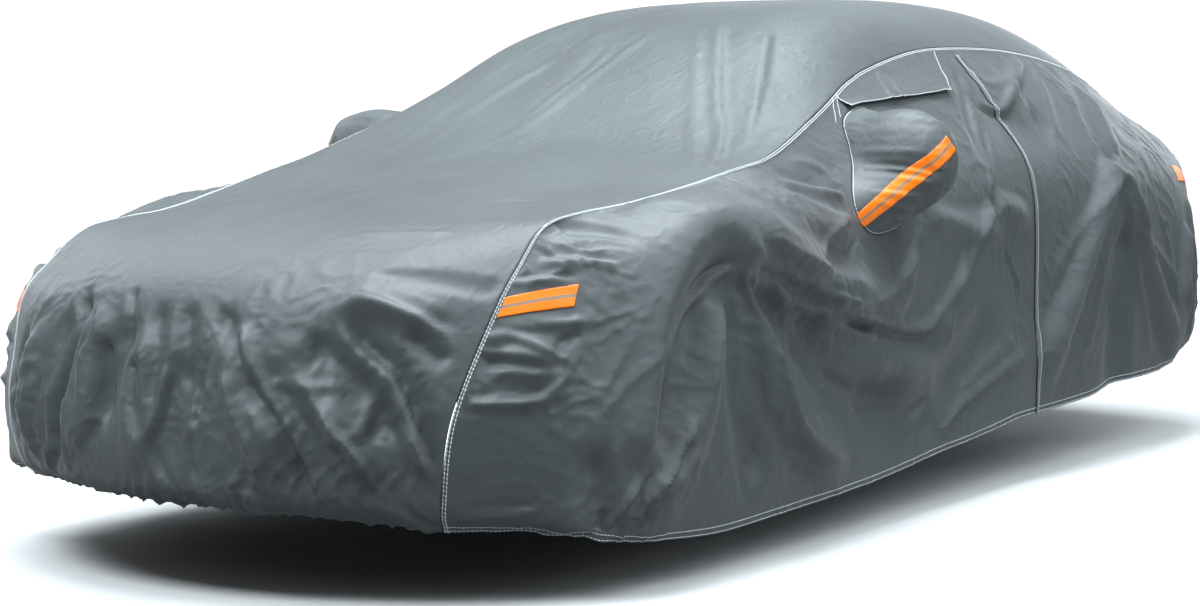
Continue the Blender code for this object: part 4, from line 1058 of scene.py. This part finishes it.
def bend_to_base(along, down):
    """Moves grid places near the pocket so that the grid follows its rounded base."""
    middle_a, half_a = sum(POCKET_ALONG) / 2, (POCKET_ALONG[1] - POCKET_ALONG[0]) / 2
    middle_b, half_b = sum(POCKET_DOWN) / 2, (POCKET_DOWN[1] - POCKET_DOWN[0]) / 2
    a, b = (along - middle_a) / half_a, (down - middle_b) / half_b
    reach = np.maximum(np.maximum(np.abs(a), np.abs(b)), 1e-9)
    power = POCKET_ROUND
    shrink = ((np.abs(a) / reach) ** power + (np.abs(b) / reach) ** power) ** (-1 / power)
    weight = 1 - ease((reach - 1) / 0.5)
    scale = 1 + (shrink - 1) * weight
    return middle_a + half_a * a * scale, middle_b + half_b * b * scale


def side_lines(step):
    """The grid lines of a side, along and down, about one step apart."""
    sections = spaced(lambda a: left_place(a, np.full(a.shape, 2.5)), range(SECTIONS + 1), [step] * SECTIONS)
    gaps = len(SIDE_STOPS_DOWN) - 1
    downs = spaced(lambda d: left_place(np.full(d.shape, 8.0), d), SIDE_STOPS_DOWN, [step] * gaps)
    return sections, downs


def follow_seam(side, points, reach=0.10):
    """Moves the points of a side near the seam as far as rounding the top sheet moved the seam."""
    edge = -1 if side > 0 else 0
    shift = top_base[:, edge] - hard_base[:, edge]
    moved = np.flatnonzero(np.linalg.norm(shift, axis=1) > 0.0001)
    flat = points.reshape(-1, 3)
    away = np.linalg.norm(flat[:, None] - hard_base[moved, edge][None], axis=2)
    nearest = away.argmin(1)
    near = ease(1 - away.min(1) / reach)
    return (flat + shift[moved][nearest] * near[:, None]).reshape(points.shape)


def side_sheet(side, sections, downs):
    """Points of a whole side, with its folds and seam ridges, as sections x downs."""
    grid_along, grid_down = np.meshgrid(sections, downs, indexing="ij")
    along, down = bend_to_base(grid_along, grid_down)
    base = follow_seam(side, side_place(side, along, down))
    rise = side_folds(side, grid_along, grid_down, base)
    upright_seams = ease(grid_along / 0.2) * ease((SECTIONS - grid_along) / 0.2)
    rise += felled(reached_along(base, 1), base, 90) * upright_seams
    rise += felled(reached_along(base, 0), base, 0) * ease(grid_down / 0.1)
    return base - normals_of(base) * side * rise[..., None]


print("steps of the side grids, in metres:", LEFT_STEP, RIGHT_STEP)

# %% [markdown]
# Both sides are made by the same function. The right side's columns are taken in turned order, because
# a mirrored grid would show its inside.

# %% The side sheets
def cut_hole(along_lines, down_lines):
    """Which faces of a side's grid lie inside the base of the pocket."""
    a = (along_lines[:-1] + along_lines[1:]) / 2
    d = (down_lines[:-1] + down_lines[1:]) / 2
    inside_a = (a > POCKET_ALONG[0]) & (a < POCKET_ALONG[1])
    inside_d = (d > POCKET_DOWN[0]) & (d < POCKET_DOWN[1])
    return (inside_a[:, None] & inside_d[None, :]).ravel()


def make_side(word, side, step):
    """A side's grid lines, the points of its whole sheet and of its two cloths, and the two pieces."""
    sections, downs = side_lines(step)
    points = side_sheet(side, sections, downs)
    cut = nearest_line(sections, ZIP_LINE)
    turned = slice(None, None, side)
    hole = cut_hole(sections[:cut + 1], downs[turned])
    parts = points[:cut + 1], points[cut:]
    pieces = []
    for end, part, drop in zip(("front", "rear"), parts, (hole, None)):
        part = settle_edges(part.copy(), ((0, 0), (0, -1), (1, 0)))
        title = f"{word}_{end}_sheet"
        mesh = grid_mesh(title, part[:, turned], drop)
        pieces.append(add_piece(title, mesh, CLOTH, f"{word}_{end}_side_panel"))
    return (sections, downs), points, parts, pieces


left_lines, left_points, left_parts, left_pieces = make_side("left", 1, LEFT_STEP)
right_lines, right_points, right_parts, right_pieces = make_side("right", -1, RIGHT_STEP)

# %% [markdown]
# A mirror pocket is a bag set into the side. Its cloth runs straight from the seam round its base to
# the bag, and then over the bag. A squashed ball would have no such waist. So it is made as rings from
# the seam to the tip, and then smoothed, which is what a stretched cloth does by itself. The front seam
# draws it up into level gathers.

# %% Rings of a pocket
POCKET_MIDDLE = {1: np.array([0.93, -0.31, 0.995]), -1: np.array([-0.90, -0.31, 1.00])}
POCKET_REACH = (0.145, 0.125, 0.16)       # out, along, up
DRAWN_IN, DRAWN_IN_AT = 0.03, math.radians(-40)               # below, towards the rear
POCKET_FOLDS = (
    # kind, height, widths, fades, path of (along, above the floor), in centimetres
    ("crease", 0.45, (1.2, 1.8), (1.5, 5), ((-51, 104), (-45, 104), (-37, 102))),
    ("tuck", 0.50, (1.2, 1.8), (1.5, 5), ((-38, 97), (-45, 99.5), (-51, 100))),
    ("crease", 0.50, (1.2, 1.8), (1.5, 5), ((-51, 97), (-45, 96), (-36, 94))),
    ("tuck", 0.45, (1.2, 1.8), (1.5, 4), ((-39, 91), (-45, 92), (-51, 93))),
    ("crease", 0.40, (1.2, 1.8), (1.5, 4), ((-51, 90), (-45, 88), (-38, 87))),
    ("crease", 0.40, (1.2, 2.0), (1.5, 5), ((-51, 107), (-44, 109), (-36, 109))),
    ("ridge", -0.8, (2, 3.5), (3, 4), ((-31, 85), (-25, 90), (-21, 96))),
    ("tuck", 0.45, (1.5, 2.5), (3, 5), ((-44, 84), (-35, 84), (-26, 87))),
    ("crease", 0.35, (1.5, 2.5), (3, 5), ((-42, 113), (-34, 112), (-25, 107))),
)


def pocket_rings(side, root, rings, straight=0.5, rounds=60):
    """Smooth rings of points from the pocket's base to its tip, closed on themselves."""
    middle = POCKET_MIDDLE[side]
    away = root[:-1] - middle
    turn = np.arctan2(away[:, 2], away[:, 1])
    radius = 1 / np.hypot(np.cos(turn) / POCKET_REACH[1], np.sin(turn) / POCKET_REACH[2])
    start = np.stack([np.hypot(away[:, 1], away[:, 2]) / radius, side * away[:, 0] / POCKET_REACH[0]], -1)
    lean = np.arccos(np.minimum(1, 1 / np.maximum(np.linalg.norm(start, axis=1), 1)))
    touch = np.arctan2(start[:, 1], start[:, 0]) + lean
    rim = np.stack([np.cos(touch), np.sin(touch)], -1)
    grid = np.zeros((rings + 1, len(turn), 3))
    for ring in range(rings + 1):
        share = ring / rings
        if share < straight:
            spot = start + (rim - start) * share / straight
        else:
            at = touch + (math.pi / 2 - touch) * (share - straight) / (1 - straight)
            spot = np.stack([np.cos(at), np.sin(at)], -1)
        under = np.maximum(0, np.cos(turn - DRAWN_IN_AT)) * math.sin(math.pi * share)
        length = spot[:, 0] * radius - DRAWN_IN * under
        grid[ring, :, 0] = side * spot[:, 1] * POCKET_REACH[0]
        grid[ring, :, 1] = length * np.cos(turn)
        grid[ring, :, 2] = length * np.sin(turn)
    grid += middle
    grid[0] = root[:-1]
    soft = slice(1, int(rings * 0.8))
    for smoothing in range(rounds):
        around = (np.roll(grid, 1, 1) + np.roll(grid, -1, 1)) / 2
        inner = (grid[:-2] + grid[2:]) / 2
        grid[soft] = 0.5 * grid[soft] + 0.25 * around[soft] + 0.25 * inner[soft.start - 1:soft.stop - 1]
    return np.concatenate([grid, grid[:, :1]], 1)


print("folds of a pocket:", len(POCKET_FOLDS))

# %% [markdown]
# The first ring is the edge of the side's own hole, so the pocket joins it all round. The gathers push
# the rings out as the folds do on the side. The right pocket's middle lies a little differently, and
# it has fewer rings, because little of it is seen.

# %% Mirror pockets
def gathered(side, grid):
    """The rings with their gathers and ripples, and their normals."""
    rings = len(grid) - 1
    normals = normals_of(np.concatenate([grid[:, -2:-1], grid, grid[:, 1:2]], 1))[:, 1:-1]
    outward = np.sign(np.sum(normals[rings // 2, :, 0]) * side)
    normals *= outward
    a, b = grid[..., 1], grid[..., 2]
    ring_share = np.linspace(0, 1, rings + 1)[:, None]
    rise = fold_rise(POCKET_FOLDS, a, b) + 0.0022 * ripples(a, b, 5, 22, 0.09, 0.03)
    rise += 0.0012 * ripples(a, b, 45, 60, 0.10, 0.03)
    rise *= ease(ring_share / 0.08) * ease((1 - ring_share) / 0.12)
    grid += normals * rise[..., None]
    grid[:, -1] = grid[:, 0]
    return grid, normals


def ring_round_hole(points, lines):
    """The grid points round the hole of a side, from the front upper corner over the top, closed."""
    i0, i1 = (nearest_line(lines[0], n) for n in POCKET_ALONG)
    j0, j1 = (nearest_line(lines[1], n) for n in POCKET_DOWN)
    return np.concatenate([
        points[i0:i1, j0],
        points[i1, j0:j1],
        points[i1:i0:-1, j1],
        points[i0, j1:j0:-1],
        points[i0:i0 + 1, j0],
    ])


def make_pocket(word, side, points, lines, rings):
    """A mirror pocket on the hole of its side: the piece, its rings and their normals."""
    grid, normals = gathered(side, pocket_rings(side, ring_round_hole(points, lines), rings))
    settle_edges(grid, ((0, 0),))
    name = f"{word}_pocket_sheet"
    mesh = grid_mesh(name, grid[:, ::-side], weld=True)
    return add_piece(name, mesh, CLOTH, f"{word}_mirror_pocket"), grid, normals


left_pocket, *left_bag = make_pocket("left", 1, left_points, left_lines, rings=44)
right_pocket, *right_bag = make_pocket("right", -1, right_points, right_lines, rings=30)

# %% [markdown]
# The flap, the placket and the strips lie on the finished cloth. Blender's Shrinkwrap modifier does the
# same for one target. Here a ball tree of the cloth's faces finds the place below each of their points,
# which also works across two cloths, and the piece is lifted a little from there.

# %% Laying trim on the cloth
def face_tree(*pieces):
    """One tree of several meshes, to lay trim on."""
    spots, faces = [], []
    for piece in pieces:
        base = len(spots)
        spots += [v.co.copy() for v in piece.data.vertices]
        faces += [[base + n for n in p.vertices] for p in piece.data.polygons]
    return BVHTree.FromPolygons(spots, faces)


def laid(tree, places, lifts, line_in=None):
    """Places carried down to the cloth, then lifted. Gives points and the cloth's normals."""
    spots = np.zeros(places.shape)
    normals = np.zeros(places.shape)
    for at in np.ndindex(places.shape[:2]):
        spot = Vector(places[at])
        found = (None,)
        if line_in is not None:
            found = tree.ray_cast(spot - 0.3 * line_in, line_in)
        if found[0] is None:
            found = tree.find_nearest(spot)
        spots[at], normals[at] = found[0], found[1]
    for smoothing in range(3):
        normals[1:-1] = (normals[:-2] + 2 * normals[1:-1] + normals[2:]) / 4
        normals[:, 1:-1] = (normals[:, :-2] + 2 * normals[:, 1:-1] + normals[:, 2:]) / 4
    normals /= np.linalg.norm(normals, axis=-1, keepdims=True)
    return spots + normals * np.asarray(lifts)[..., None], normals


left_tree = face_tree(*left_pieces)
right_tree = face_tree(*right_pieces)
print("cloths to lay trim on:", [piece.name for piece in left_pieces + right_pieces])

# %% [markdown]
# The vent flap is a loose piece of the same cloth that is sewn on along its upper edge. It stands off
# by 12 to 17 millimetres at its free edge, so little that it needs no simulation: it is laid on the
# side and lifted more and more towards that edge, in slow waves.

# %% The vent flap
FLAP_TOP = ((6.45, 0.06), (9.55, 0.06))                       # sections along and columns down
FLAP_LOWER = np.array(((6.50, 0.36), (7.20, 0.54), (7.95, 0.66), (8.98, 0.77)))
FLAP_SEWN, FLAP_LIFT, FLAP_WAVE = 0.0016, 0.010, 0.005
FLAP_FOLDS = (
    # kind, height, widths, fades, path of (along, above the floor), in centimetres
    ("crease", 0.35, (1.0, 1.5), (3, 4), ((2, 116), (8, 122), (12, 127))),
    ("crease", 0.30, (1.0, 1.5), (3, 4), ((6, 114), (13, 121), (16, 126))),
    ("tuck", 0.30, (1.0, 1.5), (3, 4), ((10, 116), (17, 124))),
    ("crease", 0.35, (1.2, 2.0), (3, 4), ((36, 121), (37, 130))),
    ("tuck", 0.30, (1.2, 2.0), (3, 4), ((47, 120), (49, 131))),
)
flap_share = np.linspace(0, 1, 90)[:, None]
flap_part = np.linspace(0, 1, 34)[None, :]
upper = np.array(FLAP_TOP[0]) + (np.array(FLAP_TOP[1]) - FLAP_TOP[0]) * flap_share
lower = through(FLAP_LOWER, flap_share[:, 0] * (len(FLAP_LOWER) - 1))
chart = upper[:, None] + (lower - upper)[:, None] * flap_part[..., None]
wavy = 0.5 + 0.5 * np.sin(flap_share * 13 + 0.8) * flap_part
lifts = FLAP_SEWN + flap_part ** 1.6 * (FLAP_LIFT + FLAP_WAVE * wavy)
flap_points, flap_normals = laid(left_tree, side_place(1, chart[..., 0], chart[..., 1]), lifts)
along, up = flap_points[..., 1], flap_points[..., 2]
flap_rise = fold_rise(FLAP_FOLDS, along, up) + 0.0014 * ripples(along, up, 60, 30, 0.12, 0.04)
flap_points += flap_normals * (flap_rise * ease(flap_part / 0.15))[..., None]
flap = add_piece("vent_flap_sheet", grid_mesh("vent_flap_sheet", flap_points), CLOTH, "left_vent_flap",
                 TRIM_THICK)

# %% [markdown]
# The zip runs from the roof seam to the hem. Only its cover shows: a narrow strip of cloth, painted a
# lighter grey as a painted highlight, that is sewn down behind the zip and stands a little off in front of
# it, so a dark line runs down there.
# Teeth behind it would never be seen, so there are none.

# %% The zip's placket
PLACKET_ALONG = (9.985, 10.075)           # its front and rear edge, in sections
PLACKET_LIFTS = ((0, 0.15, 0.5, 0.85, 1), (0.0052, 0.0056, 0.0040, 0.0022, 0.0016))
placket_share = np.linspace(0, 1, 9)
placket_along = PLACKET_ALONG[0] + (PLACKET_ALONG[1] - PLACKET_ALONG[0]) * placket_share
placket_down = left_lines[1][left_lines[1] >= 0.1]
chart_a, chart_d = np.meshgrid(placket_along, placket_down, indexing="ij")
lifts = np.interp(placket_share, *PLACKET_LIFTS)[:, None] * np.ones(chart_a.shape)
placket_points, placket_normals = laid(left_tree, side_place(1, chart_a, chart_d), lifts)
placket = add_piece("placket_sheet", grid_mesh("placket_sheet", placket_points), PLACKET_HIGHLIGHT_CLOTH,
                    "zip_placket", TRIM_THICK)

# %% [markdown]
# The strips are orange reflective tape with one thin grey line along the middle. They are given a soft
# painted glow in their own colours, which stands for the shine of their glass beads, and a fine honeycomb
# is pressed into the tape. Stripes of separate faces could give the line, but a colour ramp across the
# tape's own UV map follows every bend.

# %% Tape
# EDGE_ORANGE is a darker orange along both edges of each strip.
ORANGE, EDGE_ORANGE, GREY_LINE = (0.98, 0.20, 0.0, 1), (0.60, 0.10, 0.0, 1), (0.30, 0.20, 0.13, 1)
TAPE_COLOURS = (
    # how far across the tape, and the colour there
    (0.0, EDGE_ORANGE), (0.05, ORANGE), (0.39, ORANGE), (0.42, GREY_LINE),
    (0.56, GREY_LINE), (0.59, ORANGE), (0.95, ORANGE), (1.0, EDGE_ORANGE),
)
HONEYCOMB_SCALE = 320
# TAPE_GLOW is a painted glow: the tape gives off light in its own colours, though it is no lamp.
TAPE_GLOW = 0.20


def tape_material():
    material = bpy.data.materials.new("reflective tape")
    material.use_nodes = True
    nodes = material.node_tree.nodes
    link = material.node_tree.links.new
    shader = nodes["Principled BSDF"]
    uv = nodes.new("ShaderNodeUVMap")
    uv.uv_map = "tape"
    parts = nodes.new("ShaderNodeSeparateXYZ")
    ramp = nodes.new("ShaderNodeValToRGB")
    elements = ramp.color_ramp.elements
    for position, colour in TAPE_COLOURS[1:-1]:
        elements.new(position)
    for element, (position, colour) in zip(elements, TAPE_COLOURS):
        element.position = position
        element.color = colour
    place = nodes.new("ShaderNodeTexCoord")
    comb = nodes.new("ShaderNodeTexVoronoi")
    comb.inputs["Scale"].default_value = HONEYCOMB_SCALE
    bump = nodes.new("ShaderNodeBump")
    bump.inputs["Distance"].default_value = 0.0004
    link(uv.outputs["UV"], parts.inputs["Vector"])
    link(parts.outputs["Y"], ramp.inputs["Fac"])
    link(ramp.outputs["Color"], shader.inputs["Base Color"])
    # The ramp's colours also feed the emission, a painted glow.
    link(ramp.outputs["Color"], shader.inputs["Emission Color"])
    link(place.outputs["Object"], comb.inputs["Vector"])
    link(comb.outputs["Distance"], bump.inputs["Height"])
    link(bump.outputs["Normal"], shader.inputs["Normal"])
    shader.inputs["Roughness"].default_value = 0.38
    shader.inputs["Emission Strength"].default_value = TAPE_GLOW
    return material


TAPE = tape_material()
print("finish:", TAPE.name)

# %% [markdown]
# Four strips are sewn to the sides and one runs over each mirror pocket. Each starts as a flat patch
# between four corners, is laid on the cloth below and is lifted 2.2 millimetres off it, so that the
# cloth doesn't show through.

# %% Reflective strips
TAPE_LIFT = 0.0022
POCKET_VIEW = (-0.75, 0.66, 0)            # the way in which the left pocket's strip is laid on
MIRROR_STRIP = np.array(((89, -58, 84.5), (90, -56, 80.5), (105, -33, 107.5), (107.5, -31, 103.5))) * CM


def between_corners(corners, rows=60, columns=14):
    """Places between four corners: upper and lower at the start, upper and lower at the end."""
    u = np.linspace(0, 1, rows)[:, None, None]
    v = np.linspace(0, 1, columns)[None, :, None]
    one = corners[0] + (corners[2] - corners[0]) * u
    two = corners[1] + (corners[3] - corners[1]) * u
    return one + (two - one) * v


def tape_strip(node, side, tree, places, line_in=None):
    """A strip laid on a cloth, with the UV map that its colours need, and its points."""
    points = laid(tree, places, np.full(places.shape[:2], TAPE_LIFT), line_in)[0]
    mesh = grid_mesh(node + "_sheet", points[::side])
    rows, columns = points.shape[:2]
    index = np.zeros(len(mesh.loops), int)
    mesh.loops.foreach_get("vertex_index", index)
    spots = np.stack([index // columns / (rows - 1), index % columns / (columns - 1)], -1)
    mesh.uv_layers.new(name="tape").data.foreach_set("uv", spots.ravel())
    return add_piece(node + "_sheet", mesh, TAPE, node, TAPE_THICK), points


for node, (side, start, end) in STRIPS.items():
    sections = np.array([start[0], start[0], end[0], end[0]])
    columns = np.array([start[1], start[2], end[1], end[2]])
    tree, pieces = (left_tree, left_pieces) if side > 0 else (right_tree, right_pieces)
    places = between_corners(side_place(side, sections, columns))
    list(tape_strip(node, side, tree, places))
for node, side, bag in (("left_mirror_strip", 1, left_pocket), ("right_mirror_strip", -1, right_pocket)):
    places = between_corners(MIRROR_STRIP * (side, 1, 1), rows=80)
    line_in = (Vector(POCKET_VIEW) * Vector((side, 1, 1))).normalized()
    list(tape_strip(node, side, face_tree(bag), places, line_in))

# %% [markdown]
# Light grey thread runs in two rows beside the roof seam and the front seam, above the side hems, at
# the flap's front edge and on a short seam by the left pocket. The rear seam, the placket, the pockets,
# the flap's rear and lower edges and the rear hem have one row. A texture could paint it, but would
# look flat from the side, so every stitch is real: a small flat block, narrower on its back. Each copy
# of it is turned to the cloth below. All the seam stitches are one mesh, and all the hem stitches are
# another.

# %% One stitch
STITCH_SIZE = (0.0085, 0.0027, 0.0014)
STITCH_PITCH = 0.0105
THREAD_GREY = (0.74, 0.77, 0.80, 1)


def thread_material():
    material = bpy.data.materials.new("grey thread")
    material.use_nodes = True
    nodes = material.node_tree.nodes
    link = material.node_tree.links.new
    shader = nodes["Principled BSDF"]
    place = nodes.new("ShaderNodeTexCoord")
    twist = nodes.new("ShaderNodeTexWave")
    twist.inputs["Scale"].default_value = 300
    bump = nodes.new("ShaderNodeBump")
    bump.inputs["Distance"].default_value = 0.0003
    link(place.outputs["Object"], twist.inputs["Vector"])
    link(twist.outputs["Fac"], bump.inputs["Height"])
    link(bump.outputs["Normal"], shader.inputs["Normal"])
    shader.inputs["Base Color"].default_value = THREAD_GREY
    shader.inputs["Roughness"].default_value = 0.7
    return material


def one_stitch():
    """The shape of one stitch, along X, on its back: its vertices and faces."""
    bm = bmesh.new()
    bmesh.ops.create_cube(bm, size=1)
    bmesh.ops.scale(bm, vec=STITCH_SIZE, verts=bm.verts)
    upper = [v for v in bm.verts if v.co.z > 0]
    bmesh.ops.scale(bm, vec=(0.8, 0.5, 1), verts=upper)
    mesh = bpy.data.meshes.new("one stitch")
    bm.to_mesh(mesh)
    bm.free()
    spots = np.array([v.co for v in mesh.vertices])
    faces = np.array([tuple(p.vertices) for p in mesh.polygons])
    bpy.data.meshes.remove(mesh)
    return spots, faces


THREAD = thread_material()
STITCH, STITCH_FACES = one_stitch()
print("a stitch has", len(STITCH_FACES), "faces")

# %% [markdown]
# A row of stitches needs a line on the cloth and the cloth's normals along it. The line lies at a
# set distance from a sheet's edge, and is read from the sheet's own grid. Then each stitch gets its
# own three directions: along the line, across it and away from the cloth.

# %% Rows of stitches
def stitches_along(line, normals):
    """Copies of the stitch, end to end along a line of points."""
    steps = np.linalg.norm(np.diff(line, axis=0), axis=1)
    reached = np.insert(np.cumsum(steps), 0, 0)
    at = np.arange(STITCH_PITCH / 2, reached[-1], STITCH_PITCH)

    def read(values, places):
        return np.stack([np.interp(places, reached, values[:, n]) for n in range(3)], -1)

    x = read(line, at + 0.002) - read(line, at - 0.002)
    x /= np.maximum(np.linalg.norm(x, axis=1, keepdims=True), 1e-9)
    y = np.cross(read(normals, at), x)
    y /= np.maximum(np.linalg.norm(y, axis=1, keepdims=True), 1e-9)
    directions = np.stack([x, y, np.cross(x, y)], 1)
    return read(line, at)[:, None, :] + np.einsum("vk,nkc->nvc", STITCH, directions)


def thread_piece(name, rows):
    """All the stitches of several lines as one mesh."""
    spots = np.concatenate([stitches_along(line, normals) for line, normals in rows])
    count = len(spots)
    faces = STITCH_FACES[None] + (np.arange(count) * len(STITCH))[:, None, None]
    mesh = bpy.data.meshes.new(name)
    mesh.from_pydata(spots.reshape(-1, 3).tolist(), [], faces.reshape(-1, 4).tolist())
    mesh.validate()
    print(name, "stitches:", count)
    add_piece(name, mesh, THREAD, None, 0)


def beside(points, normals, axis, end, distance, lift=0.0004, rows=40):
    """A line on a sheet's points at a distance from one of its edges, with its normals."""
    grid = points if axis == 1 else points.swapaxes(0, 1)
    over = normals if axis == 1 else normals.swapaxes(0, 1)
    if end:
        grid, over = grid[:, ::-1], over[:, ::-1]
    reached = reached_along(grid[:, :rows], 1)
    line, up = np.zeros((len(grid), 3)), np.zeros((len(grid), 3))
    for n in range(len(grid)):
        for c in range(3):
            line[n, c] = np.interp(distance, reached[n], grid[n, :rows, c])
            up[n, c] = np.interp(distance, reached[n], over[n, :rows, c])
    up /= np.linalg.norm(up, axis=1, keepdims=True)
    return line + up * lift, up


print("stitches per metre:", round(1 / STITCH_PITCH))

# %% [markdown]
# Now the rows themselves. A sheet's edge is named by the grid's axis and by its start, 0, or its end,
# 1. A short seam that is no sheet's edge joins the roof seam to the left pocket. It is laid on like the
# trim, as two rows.

# %% Seams and hems
SEAM_ROWS, HEM_ROWS, EDGE_ROW = (0.003, 0.010), (0.004, 0.018), 0.003
SHORT_SEAM = ((6.36, 0.03), (6.08, 0.40))                     # sections along and columns down
sides = ((left_points, -normals_of(left_points)), (right_points, normals_of(right_points)))
flap_grid = (flap_points, flap_normals)

seam_rows = [beside(*grid, axis, 0, d) for grid in sides for axis in (1, 0) for d in SEAM_ROWS]
seam_rows += [beside(*grid, 0, 1, EDGE_ROW) for grid in sides]
seam_rows.append(beside(placket_points, placket_normals, 0, 1, EDGE_ROW))
for rings, over in (left_bag, right_bag):
    seam_rows.append(beside(rings, over, 0, 0, 0.004))
seam_rows += [beside(*flap_grid, axis, end, d)
              for axis, end, d in ((0, 0, 0.003), (0, 0, 0.008), (0, 1, 0.003), (1, 1, 0.004))]
share = np.linspace(0, 1, 20)[:, None]
short_along = SHORT_SEAM[0][0] + (SHORT_SEAM[1][0] - SHORT_SEAM[0][0]) * share + np.array([[0, 0.13]])
short_down = np.repeat(SHORT_SEAM[0][1] + (SHORT_SEAM[1][1] - SHORT_SEAM[0][1]) * share, 2, axis=1)
short_lifts = np.full(short_along.shape, 0.0006)
short_line, short_up = laid(left_tree, side_place(1, short_along, short_down), short_lifts)
seam_rows += [(short_line[:, n], short_up[:, n]) for n in (0, 1)]
hem_rows = [beside(*grid, 1, 1, d) for grid in sides for d in HEM_ROWS]
hem_rows.append(beside(top_points, -normals_of(top_points), 0, 1, HEM_ROWS[1]))
thread_piece("seam_stitches", seam_rows)
thread_piece("hem_stitches", hem_rows)

# %% [markdown]
# A sheet's cut is larger than its box, because a folded cloth takes more. The pockets are bags whose
# cut doesn't show, so theirs is a guess.


# %% [markdown]
# Last, all pieces move from the floor's measures to the origin under the roof. The meshes are moved and
# not the objects, so that all pieces keep one origin and the patterns of their materials run on from
# piece to piece.

# %% Origin
for piece in PIECES:
    piece.data.transform(Matrix.Translation(-Vector(ROOF)))
bpy.context.view_layer.update()
